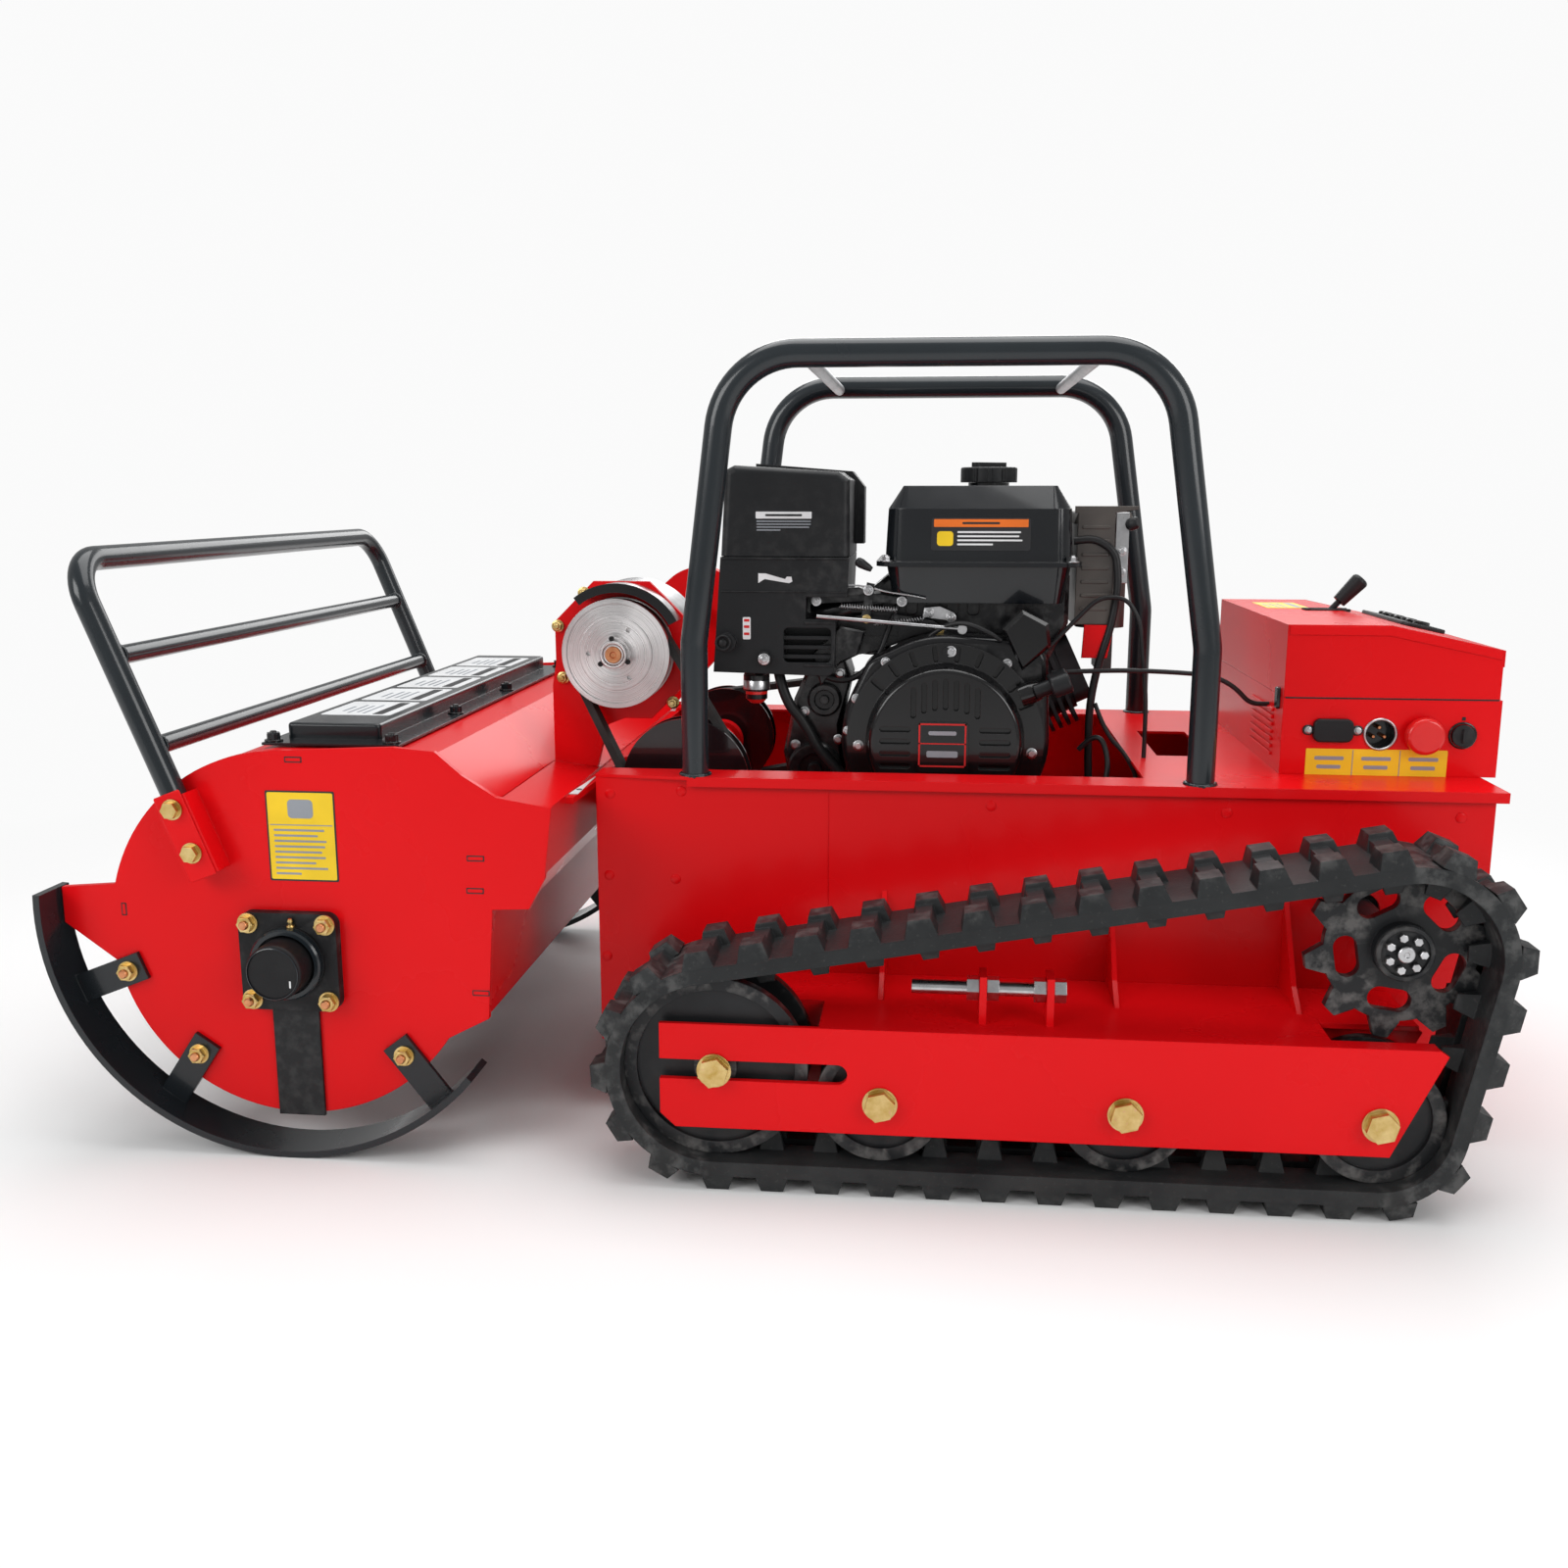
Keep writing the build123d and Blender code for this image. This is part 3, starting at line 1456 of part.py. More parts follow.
def main():
    os.makedirs("parts", exist_ok=True)
    for side, name in ((-1, "left"), (1, "right")):
        belt, length, count = make_track_belt(side)
        print("belt length", round(length), "lugs", count)
        keep(belt, f"track_belt_{name}")
        keep(make_sprocket(side), f"sprocket_{name}")
        idler = make_track_wheel(side, idler_x, idler_z, idler_radius, axle_radius + run_gap)
        keep(idler, f"idler_{name}")
        for x, place in zip(roller_xs, ("front", "middle", "rear")):
            roller = make_track_wheel(side, x, roller_z, roller_radius, axle_radius + run_gap)
            keep(roller, f"roller_{place}_{name}")
        keep(make_track_frame(side), f"track_frame_{name}")
        keep(make_hoop(side * hoop_y), f"hoop_{name}")
        keep(make_head_side(side), f"head_side_{name}")
    keep(make_axle_bolts(), "axle_bolts")
    keep(make_tension_screws(), "tension_screws")
    keep(make_drive_motors(), "drive_motors")
    keep(make_hull_tub(), "hull_tub")
    keep(make_top_deck(), "top_deck")
    keep(make_crossbars(), "hoop_crossbars")
    keep(make_crankcase(), "crankcase")
    keep(make_cylinder(), "cylinder")
    keep(make_fan_cover(), "fan_cover")
    keep(make_recoil_cover(), "recoil_cover")
    keep(make_recoil_handle(), "recoil_handle")
    keep(make_fuel_tank(), "fuel_tank")
    keep(make_fuel_cap(), "fuel_cap")
    keep(make_filter_base(), "air_filter_base")
    keep(make_filter_cover(), "air_filter_cover")
    keep(make_carburettor(), "carburettor")
    keep(make_muffler(), "muffler")
    keep(make_throttle_rod(), "throttle_rod")
    keep(make_control_box(), "control_box")
    keep(make_control_lid(), "control_lid")
    keep(make_drive_lever(), "drive_lever")
    keep(make_battery(), "battery")
    keep(make_cables(), "control_cables")
    keep(make_socket_cover(), "socket_cover")
    keep(make_stop_button(), "stop_button")
    keep(make_key_switch(), "key_switch")
    keep(make_layshaft(), "layshaft")
    keep(make_engine_pulley(), "engine_pulley")
    crank = (crank_x, crank_z, engine_pulley_radius)
    lay_far = (lay_x, lay_z, lay_pulley_radius)
    keep(make_belt(crank, lay_far, engine_belt_y[0] + 1, engine_belt_y[1] - 1), "engine_belt")
    lay_near = (lay_x, lay_z, 66)
    clutch = (clutch_x, clutch_z, clutch_radius - 11)
    keep(make_belt(lay_near, clutch, pulley_y[0] + 5, pulley_y[1] - 5), "head_belt")
    keep(make_clutch_pulley(), "clutch_pulley")
    keep(make_slot_covers(), "slot_covers")
    keep(make_head_shell(), "head_shell")
    keep(make_lift_frame(), "lift_frame")
    keep(make_head_cover(), "head_cover")
    keep(make_flange_bearings(), "flange_bearings")
    keep(make_skids(), "skids")
    keep(make_guard_rail(), "guard_rail")
    keep(make_head_bolts(), "head_bolts")
    keep(make_belt_case(), "belt_case")
    keep(make_drum(), "grinding_drum")
    keep(make_drum_teeth(), "drum_teeth")


main()
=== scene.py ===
import math
import random

import bmesh
import bpy
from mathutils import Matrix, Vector


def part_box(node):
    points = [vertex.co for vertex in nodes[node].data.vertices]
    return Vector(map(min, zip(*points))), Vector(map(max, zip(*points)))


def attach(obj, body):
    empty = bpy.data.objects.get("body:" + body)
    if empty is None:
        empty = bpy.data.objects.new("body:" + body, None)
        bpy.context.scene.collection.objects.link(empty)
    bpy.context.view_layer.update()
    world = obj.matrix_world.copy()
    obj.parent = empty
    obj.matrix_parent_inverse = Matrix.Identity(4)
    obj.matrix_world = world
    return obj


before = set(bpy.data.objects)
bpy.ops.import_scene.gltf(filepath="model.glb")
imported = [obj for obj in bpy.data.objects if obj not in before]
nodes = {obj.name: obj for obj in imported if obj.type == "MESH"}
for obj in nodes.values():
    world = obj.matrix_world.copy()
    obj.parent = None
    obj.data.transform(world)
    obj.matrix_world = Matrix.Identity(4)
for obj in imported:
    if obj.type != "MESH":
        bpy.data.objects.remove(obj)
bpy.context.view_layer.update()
mm = 0.001
print("frame loaded,", len(nodes), "nodes")


# material building blocks

def newMaterial(name):
    mat = bpy.data.materials.new(name)
    mat.use_nodes = True
    return mat, mat.node_tree, mat.node_tree.nodes["Principled BSDF"]


def addNoise(tree, coords, scale, detail=4.0, stretch=(1, 1, 1), rough=0.55):
    mapping = tree.nodes.new("ShaderNodeMapping")
    mapping.inputs["Scale"].default_value = stretch
    tree.links.new(coords.outputs["Object"], mapping.inputs["Vector"])
    noise = tree.nodes.new("ShaderNodeTexNoise")
    noise.inputs["Scale"].default_value = scale
    noise.inputs["Detail"].default_value = detail
    noise.inputs["Roughness"].default_value = rough
    tree.links.new(mapping.outputs["Vector"], noise.inputs["Vector"])
    return noise.outputs["Fac"]


def addRamp(tree, fac, stops):
    ramp = tree.nodes.new("ShaderNodeValToRGB")
    while len(ramp.color_ramp.elements) < len(stops):
        ramp.color_ramp.elements.new(0.5)
    for element, (place, color) in zip(ramp.color_ramp.elements, stops):
        element.position = place
        element.color = (*color, 1.0) if len(color) == 3 else color
    tree.links.new(fac, ramp.inputs["Fac"])
    return ramp.outputs["Color"]


def mixColors(tree, fac, first, second):
    mix = tree.nodes.new("ShaderNodeMix")
    mix.data_type = "RGBA"
    if isinstance(fac, float):
        mix.inputs[0].default_value = fac
    else:
        tree.links.new(fac, mix.inputs[0])
    for socket, value in ((mix.inputs[6], first), (mix.inputs[7], second)):
        if isinstance(value, tuple):
            socket.default_value = (*value, 1.0)
        else:
            tree.links.new(value, socket)
    return mix.outputs[2]


def mapRange(tree, value, low, high, toLow, toHigh):
    ranged = tree.nodes.new("ShaderNodeMapRange")
    ranged.inputs["From Min"].default_value = low
    ranged.inputs["From Max"].default_value = high
    ranged.inputs["To Min"].default_value = toLow
    ranged.inputs["To Max"].default_value = toHigh
    tree.links.new(value, ranged.inputs["Value"])
    return ranged.outputs["Result"]


def multiply(tree, first, second):
    product = tree.nodes.new("ShaderNodeMath")
    product.operation = "MULTIPLY"
    tree.links.new(first, product.inputs[0])
    tree.links.new(second, product.inputs[1])
    return product.outputs[0]


def addBump(tree, height, strength, distance, under=None):
    bump = tree.nodes.new("ShaderNodeBump")
    bump.inputs["Strength"].default_value = strength
    bump.inputs["Distance"].default_value = distance
    tree.links.new(height, bump.inputs["Height"])
    if under is not None:
        tree.links.new(under, bump.inputs["Normal"])
    return bump.outputs["Normal"]


def softEdge(tree, radius):
    bevel = tree.nodes.new("ShaderNodeBevel")
    bevel.samples = 4
    bevel.inputs["Radius"].default_value = radius
    return bevel.outputs["Normal"]


def edgeMask(tree, low, high):
    # where a corner is worn: bright on convex edges
    geometry = tree.nodes.new("ShaderNodeNewGeometry")
    return mapRange(tree, geometry.outputs["Pointiness"], low, high, 0.0, 1.0)


# one recipe for everything that is painted, moulded or cast; the numbers differ
def coatedMaterial(name, look):
    mat, tree, shader = newMaterial(name)
    coords = tree.nodes.new("ShaderNodeTexCoord")
    broad = addNoise(tree, coords, look.get("broad", 5.0), 3.0)
    color = addRamp(tree, broad, [(0.3, look["dark"]), (0.7, look["light"])])
    if look.get("fleck"):
        fine = addNoise(tree, coords, look["fleckScale"], 2.0)
        mask = mapRange(tree, fine, 0.62, 0.72, 0.0, look["fleckAmount"])
        color = mixColors(tree, mask, color, look["fleck"])
    if look.get("wear"):
        worn = edgeMask(tree, 0.53, 0.60)
        patch = addNoise(tree, coords, 60.0, 5.0)
        patchMask = mapRange(tree, patch, 0.45, 0.65, 0.0, look["wearAmount"])
        color = mixColors(tree, multiply(tree, worn, patchMask), color, look["wear"])
    if look.get("dust"):
        split = tree.nodes.new("ShaderNodeSeparateXYZ")
        tree.links.new(coords.outputs["Object"], split.inputs["Vector"])
        low = mapRange(tree, split.outputs["Z"], 0.0, 0.24, look["dustAmount"], 0.0)
        cloud = addNoise(tree, coords, 16.0, 6.0)
        cloudMask = mapRange(tree, cloud, 0.4, 0.75, 0.0, 1.0)
        color = mixColors(tree, multiply(tree, low, cloudMask), color, look["dust"])
    tree.links.new(color, shader.inputs["Base Color"])
    smear = addNoise(tree, coords, look.get("smear", 11.0), 5.0)
    low, high = look["roughness"]
    tree.links.new(mapRange(tree, smear, 0.1, 0.9, low, high), shader.inputs["Roughness"])
    grain = addNoise(tree, coords, look["grain"], 2.0, look.get("stretch", (1, 1, 1)))
    under = softEdge(tree, look["edge"]) if look.get("edge") else None
    normal = addBump(tree, grain, look["bump"], look["depth"], under)
    if look.get("wave"):
        wave = addNoise(tree, coords, look["wave"], 1.0)
        normal = addBump(tree, wave, look["waveBump"], 0.004, normal)
    tree.links.new(normal, shader.inputs["Normal"])
    shader.inputs["Metallic"].default_value = look.get("metallic", 0.0)
    shader.inputs["Coat Weight"].default_value = look.get("coat", 0.0)
    shader.inputs["Coat Roughness"].default_value = look.get("coatRough", 0.08)
    shader.inputs["Specular IOR Level"].default_value = look.get("specular", 0.28)
    return mat


# machined metal with fine rings round an axis through a point, or straight brushing
def turnedMaterial(name, look):
    mat, tree, shader = newMaterial(name)
    coords = tree.nodes.new("ShaderNodeTexCoord")
    mapping = tree.nodes.new("ShaderNodeMapping")
    mapping.inputs["Location"].default_value = tuple(-v for v in look["centre"])
    tree.links.new(coords.outputs["Object"], mapping.inputs["Vector"])
    flat = tree.nodes.new("ShaderNodeVectorMath")
    flat.operation = "MULTIPLY"
    flat.inputs[1].default_value = look["plane"]
    tree.links.new(mapping.outputs["Vector"], flat.inputs[0])
    radius = tree.nodes.new("ShaderNodeVectorMath")
    radius.operation = "LENGTH"
    tree.links.new(flat.outputs["Vector"], radius.inputs[0])
    ringNoise = tree.nodes.new("ShaderNodeTexNoise")
    ringNoise.noise_dimensions = "1D"
    ringNoise.inputs["Scale"].default_value = look["rings"]
    ringNoise.inputs["Detail"].default_value = 3.0
    tree.links.new(radius.outputs["Value"], ringNoise.inputs["W"])
    cloud = addNoise(tree, coords, look.get("cloud", 30.0), 4.0)
    tone = mixColors(tree, 0.35, ringNoise.outputs["Fac"], cloud)
    color = addRamp(tree, tone, [(0.35, look["dark"]), (0.65, look["light"])])
    tree.links.new(color, shader.inputs["Base Color"])
    low, high = look["roughness"]
    tree.links.new(mapRange(tree, ringNoise.outputs["Fac"], 0.3, 0.7, low, high),
              shader.inputs["Roughness"])
    normal = addBump(tree, ringNoise.outputs["Fac"], look["bump"], 0.0006,
                     softEdge(tree, 0.0008))
    tree.links.new(normal, shader.inputs["Normal"])
    shader.inputs["Metallic"].default_value = 1.0
    # the lathe's rings stretch the highlight into spokes
    shader.inputs["Anisotropic"].default_value = look.get("spokes", 0.0)
    tangent = tree.nodes.new("ShaderNodeTangent")
    tangent.direction_type = "RADIAL"
    tangent.axis = "Y"
    tree.links.new(tangent.outputs[0], shader.inputs["Tangent"])
    return mat


redCoat = coatedMaterial("redCoat", {
    "dark": (0.64, 0.003, 0.005), "light": (0.71, 0.004, 0.007), "broad": 2.0,
    "roughness": (0.24, 0.30), "smear": 3.0, "grain": 900.0, "bump": 0.03, "depth": 0.0002,
    "edge": 0.0014, "coat": 0.03, "coatRough": 0.06, "specular": 0.13})
tubeCoat = coatedMaterial("tubeCoat", {
    "dark": (0.008, 0.012, 0.015), "light": (0.015, 0.020, 0.024), "broad": 4.0,
    "roughness": (0.22, 0.30), "grain": 380.0, "bump": 0.02, "depth": 0.0002,
    "coat": 0.4, "coatRough": 0.10})
barCoat = coatedMaterial("barCoat", {
    "dark": (0.006, 0.008, 0.010), "light": (0.012, 0.015, 0.018), "broad": 5.0,
    "roughness": (0.22, 0.32), "grain": 300.0, "bump": 0.05, "depth": 0.0003, "edge": 0.0016,
    "coat": 0.3, "coatRough": 0.10})
trackRubber = coatedMaterial("trackRubber", {
    "dark": (0.009, 0.010, 0.011), "light": (0.019, 0.021, 0.022), "broad": 14.0,
    "roughness": (0.40, 0.62), "grain": 260.0, "bump": 0.35, "depth": 0.0007, "edge": 0.0022,
    "wave": 48.0, "waveBump": 0.10, "wear": (0.075, 0.076, 0.075), "wearAmount": 0.8,
    "fleck": (0.06, 0.058, 0.055), "fleckScale": 190.0, "fleckAmount": 0.35,
    "dust": (0.09, 0.086, 0.08), "dustAmount": 0.25})
wheelCoat = coatedMaterial("wheelCoat", {
    "dark": (0.007, 0.008, 0.009), "light": (0.015, 0.016, 0.018), "broad": 9.0,
    "roughness": (0.30, 0.50), "grain": 300.0, "bump": 0.18, "depth": 0.0005, "edge": 0.0014,
    "wear": (0.14, 0.135, 0.13), "wearAmount": 0.7, "dust": (0.10, 0.095, 0.09),
    "dustAmount": 0.4})
castBlack = coatedMaterial("castBlack", {
    "dark": (0.006, 0.006, 0.007), "light": (0.014, 0.014, 0.015), "broad": 12.0,
    "roughness": (0.38, 0.58), "grain": 190.0, "bump": 0.40, "depth": 0.0008, "edge": 0.0014,
    "wear": (0.10, 0.10, 0.10), "wearAmount": 0.4, "metallic": 0.2})
enginePaint = coatedMaterial("enginePaint", {
    "dark": (0.004, 0.004, 0.005), "light": (0.010, 0.010, 0.011), "broad": 10.0,
    "roughness": (0.20, 0.36), "grain": 210.0, "bump": 0.22, "depth": 0.0005, "edge": 0.0018,
    "wear": (0.10, 0.10, 0.10), "wearAmount": 0.5, "metallic": 0.2, "coat": 0.3,
    "coatRough": 0.12})
finAlloy = coatedMaterial("finAlloy", {
    "dark": (0.016, 0.016, 0.018), "light": (0.045, 0.045, 0.048), "broad": 16.0,
    "roughness": (0.36, 0.55), "grain": 180.0, "bump": 0.35, "depth": 0.0007, "edge": 0.001,
    "metallic": 0.8})
blackPlastic = coatedMaterial("blackPlastic", {
    "dark": (0.007, 0.0075, 0.0085), "light": (0.012, 0.013, 0.0145), "broad": 6.0,
    "roughness": (0.34, 0.46), "grain": 520.0, "bump": 0.30, "depth": 0.0004, "edge": 0.0018,
    "wear": (0.05, 0.05, 0.05), "wearAmount": 0.4})
glossPlastic = coatedMaterial("glossPlastic", {
    "dark": (0.003, 0.003, 0.0035), "light": (0.007, 0.007, 0.0075), "broad": 6.0,
    "roughness": (0.14, 0.24), "grain": 300.0, "bump": 0.06, "depth": 0.0003, "edge": 0.0016,
    "coat": 0.4, "coatRough": 0.05})
tankPaint = coatedMaterial("tankPaint", {
    "dark": (0.005, 0.006, 0.008), "light": (0.010, 0.012, 0.014), "broad": 5.0,
    "roughness": (0.12, 0.22), "grain": 300.0, "bump": 0.06, "depth": 0.0003, "edge": 0.002,
    "wave": 22.0, "waveBump": 0.06, "coat": 0.4, "coatRough": 0.04})
hotSteel = coatedMaterial("hotSteel", {
    "dark": (0.055, 0.052, 0.052), "light": (0.13, 0.115, 0.105), "broad": 9.0,
    "roughness": (0.34, 0.55), "grain": 160.0, "bump": 0.25, "depth": 0.0006, "edge": 0.0014,
    "metallic": 0.85})
greyCoat = coatedMaterial("greyCoat", {
    "dark": (0.36, 0.37, 0.38), "light": (0.50, 0.51, 0.52), "broad": 9.0,
    "roughness": (0.30, 0.45), "grain": 300.0, "bump": 0.12, "depth": 0.0004,
    "metallic": 0.6, "wear": (0.6, 0.6, 0.6), "wearAmount": 0.4})
zincGold = coatedMaterial("zincGold", {
    "dark": (0.50, 0.33, 0.09), "light": (0.72, 0.55, 0.25), "broad": 70.0,
    "fleck": (0.62, 0.28, 0.24), "fleckScale": 110.0, "fleckAmount": 0.7,
    "roughness": (0.22, 0.40), "grain": 420.0, "bump": 0.10, "depth": 0.0003, "edge": 0.0008,
    "metallic": 1.0})
zincBright = coatedMaterial("zincBright", {
    "dark": (0.42, 0.42, 0.43), "light": (0.62, 0.62, 0.63), "broad": 60.0,
    "roughness": (0.20, 0.38), "grain": 400.0, "bump": 0.12, "depth": 0.0003, "edge": 0.0008,
    "metallic": 1.0})
beltFabric = coatedMaterial("beltFabric", {
    "dark": (0.012, 0.012, 0.012), "light": (0.030, 0.030, 0.029), "broad": 40.0,
    "roughness": (0.62, 0.80), "grain": 900.0, "bump": 0.45, "depth": 0.0004,
    "stretch": (1.0, 2.4, 1.0)})
cableSheath = coatedMaterial("cableSheath", {
    "dark": (0.010, 0.010, 0.011), "light": (0.018, 0.018, 0.019), "broad": 20.0,
    "roughness": (0.30, 0.48), "grain": 240.0, "bump": 0.12, "depth": 0.0003})
toothSteel = coatedMaterial("toothSteel", {
    "dark": (0.07, 0.065, 0.06), "light": (0.17, 0.16, 0.15), "broad": 30.0,
    "roughness": (0.35, 0.60), "grain": 150.0, "bump": 0.40, "depth": 0.0008, "edge": 0.001,
    "fleck": (0.16, 0.07, 0.03), "fleckScale": 60.0, "fleckAmount": 0.5, "metallic": 0.9})
signalRed = coatedMaterial("signalRed", {
    "dark": (0.62, 0.010, 0.010), "light": (0.72, 0.020, 0.016), "broad": 12.0,
    "roughness": (0.24, 0.34), "grain": 300.0, "bump": 0.08, "depth": 0.0003, "edge": 0.001,
    "coat": 0.4})
turnedSteel = turnedMaterial("turnedSteel", {
    "centre": (-0.214, 0.0, 0.566), "plane": (1, 0, 1), "rings": 900.0,
    "dark": (0.48, 0.46, 0.46), "light": (0.74, 0.72, 0.72), "roughness": (0.26, 0.40),
    "bump": 0.30, "spokes": 0.85})
darkDisc = coatedMaterial("darkDisc", {
    "dark": (0.007, 0.003, 0.004), "light": (0.016, 0.007, 0.008), "broad": 12.0,
    "roughness": (0.16, 0.28), "grain": 240.0, "bump": 0.10, "depth": 0.0004, "edge": 0.001,
    "coat": 0.6, "coatRough": 0.06})
turnedShaft = turnedMaterial("turnedShaft", {
    "centre": (-0.128, 0.0, 0.405), "plane": (1, 0, 1), "rings": 700.0,
    "dark": (0.30, 0.30, 0.31), "light": (0.52, 0.52, 0.53), "roughness": (0.24, 0.42),
    "bump": 0.30})
print("materials made")

finishOf = {
    redCoat: ["track_frame_left", "track_frame_right", "head_side_left", "head_side_right",
              "hull_tub", "top_deck", "control_box", "control_lid", "head_shell", "lift_frame",
              "belt_case"],
    tubeCoat: ["hoop_left", "hoop_right", "guard_rail"],
    barCoat: ["skids", "head_cover"],
    trackRubber: ["track_belt_left", "track_belt_right"],
    wheelCoat: [f"{part}_{side}" for part in
                ("idler", "roller_front", "roller_middle", "roller_rear", "sprocket")
                for side in ("left", "right")],
    castBlack: ["drive_motors", "flange_bearings", "grinding_drum"],
    enginePaint: ["crankcase", "fan_cover", "carburettor"],
    finAlloy: ["cylinder"],
    blackPlastic: ["recoil_handle", "fuel_cap", "air_filter_base", "air_filter_cover",
                   "drive_lever", "battery", "socket_cover", "slot_covers", "key_switch"],
    glossPlastic: ["recoil_cover"],
    tankPaint: ["fuel_tank"],
    hotSteel: ["muffler"],
    greyCoat: ["hoop_crossbars"],
    zincGold: ["axle_bolts", "head_bolts"],
    zincBright: ["tension_screws", "throttle_rod"],
    beltFabric: ["engine_belt", "head_belt"],
    cableSheath: ["control_cables"],
    toothSteel: ["drum_teeth"],
    signalRed: ["stop_button"],
    turnedSteel: ["clutch_pulley"],
    turnedShaft: ["engine_pulley"],
    darkDisc: ["layshaft"],
}
for finish, names in finishOf.items():
    for name in names:
        cad = nodes[name]
        cad.data.materials.clear()
        cad.data.materials.append(finish)
print("finishes on the frame's nodes")

# mesh building blocks: everything is in millimetres, then scaled once

def basisOf(axis):
    along = Vector(axis).normalized()
    side = along.cross(Vector((0, 0, 1)) if abs(along.z) < 0.9 else Vector((0, 1, 0))).normalized()
    return side, along.cross(side), along


def joinRings(bm, rings, closed=True):
    # quads between neighbouring rings, and a face over each end
    for first, second in zip(rings, rings[1:]):
        for i, j in enumerate([*range(1, len(first)), 0]):
            bm.faces.new((first[i], first[j], second[j], second[i]))
    if closed:
        bm.faces.new(rings[0][::-1])
        bm.faces.new(rings[-1])


def lathe(bm, profile, place, axis, steps=36):
    # profile: (radius, height along the axis) pairs, first to last
    side, up, along = basisOf(axis)
    place = Vector(place)
    rings = []
    for radius, height in profile:
        if radius < 0.01:
            rings.append([bm.verts.new(place + along * height)])
            continue
        rings.append([bm.verts.new(place + along * height + radius * (
            side * math.cos(math.tau * i / steps) + up * math.sin(math.tau * i / steps)))
            for i in range(steps)])
    for first, second in zip(rings, rings[1:]):
        for i in range(steps):
            j = (i + 1) % steps
            corners = []
            for ring, index in ((first, i), (first, j), (second, j), (second, i)):
                vert = ring[0] if len(ring) == 1 else ring[index]
                if vert not in corners:
                    corners.append(vert)
            if len(corners) > 2:
                bm.faces.new(corners)


def hexPart(bm, place, axis, flats, height, turn=0.0, dome=0.12):
    side, up, along = basisOf(axis)
    place = Vector(place)
    reach = flats / math.sqrt(3)
    levels = ((1.0, 0.0), (1.0, height * (1 - dome)), (0.88, height))
    rings = []
    for share, rise in levels:
        rings.append([bm.verts.new(place + along * rise + share * reach * (
            side * math.cos(turn + math.tau * i / 6) + up * math.sin(turn + math.tau * i / 6)))
            for i in range(6)])
    joinRings(bm, rings)


def boltSet(bm, spots, axis, flats, height, washer, thick, stud=0.0):
    # washer, head with a turned face, and the screw's end when it stands proud
    along = Vector(axis).normalized()
    for number, spot in enumerate(spots):
        spot = Vector(spot)
        lathe(bm, [(0, 0), (washer, 0), (washer, thick * 0.8), (washer - 0.5, thick), (0, thick)],
              spot, axis, 28)
        hexPart(bm, spot + along * thick, axis, flats, height, turn=0.4 + 0.7 * number)
        if stud:
            top = thick + height
            lathe(bm, [(flats * 0.3, top - 0.5), (flats * 0.3, top + stud - 1),
                       (flats * 0.24, top + stud), (0, top + stud)], spot, axis, 20)


def slab(bm, outline, lift, bevel=0.0):
    # outline: points in space; lift: vector the outline is raised by, with a chamfered rim
    points = [Vector(p) for p in outline]
    lift = Vector(lift)
    middle = sum(points, Vector()) / len(points)
    loops = [points]
    if bevel:
        loops.append([p + lift * (1 - min(bevel / lift.length, 0.6)) for p in points])
        loops.append([p + lift - (p - middle).normalized() * bevel for p in points])
    else:
        loops.append([p + lift for p in points])
    joinRings(bm, [[bm.verts.new(p) for p in loop] for loop in loops])


def roundedOutline(middle, across, along, width, height, corner, steps=4):
    middle, across, along = Vector(middle), Vector(across).normalized(), Vector(along).normalized()
    points = []
    for quarter, (sx, sy) in enumerate(((1, 1), (-1, 1), (-1, -1), (1, -1))):
        for i in range(steps + 1):
            angle = math.radians(90 * quarter + 90 * i / steps)
            points.append(middle + across * (sx * (width / 2 - corner) + corner * math.cos(angle))
                          + along * (sy * (height / 2 - corner) + corner * math.sin(angle)))
    return points


def uprightOutline(middle, width, height, corner):
    return roundedOutline(middle, (1, 0, 0), (0, 0, 1), width, height, corner)


def levelOutline(middle, width, length, corner):
    return roundedOutline(middle, (1, 0, 0), (0, 1, 0), width, length, corner)


def atDepth(y, *points):
    # an outline drawn in X and Z, all at one Y
    return [(x, y, z) for x, z in points]


def uprightBlock(y, lowX, highX, lowZ, highZ):
    return atDepth(y, (lowX, lowZ), (highX, lowZ), (highX, highZ), (lowX, highZ))


def onCircle(x, y, z, radius, degrees):
    angle = math.radians(degrees)
    return x + radius * math.cos(angle), y, z + radius * math.sin(angle)


def arcBand(bm, middle, inner, outer, start, end, lowY, highY, steps=28):
    # part of a ring in the X and Z plane, as wide as lowY to highY
    x, z = middle
    rings = []
    for i in range(steps + 1):
        angle = math.radians(start + (end - start) * i / steps)
        c, s = math.cos(angle), math.sin(angle)
        rings.append([bm.verts.new((x + r * c, y, z + r * s))
                      for r, y in ((inner, lowY), (outer, lowY), (outer, highY), (inner, highY))])
    joinRings(bm, rings)


def newMeshes(count):
    return [bmesh.new() for _ in range(count)]


def linkPiece(name, data, finish, body, slotName):
    # a piece takes its finish as its material; a slot name is looked up from the finish when none
    # is named, but it is not stored
    data.materials.append(finish)
    piece = bpy.data.objects.new(name, data)
    bpy.context.scene.collection.objects.link(piece)
    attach(piece, body)
    slotName = slotName or slotOf.get(finish)
    return piece


def finishAll(body, *pieces):
    # pieces: (name, mesh, finish) and a slot where it isn't the finish's own
    for name, bm, finish, *slotName in pieces:
        finishPiece(name, bm, finish, body, *slotName)


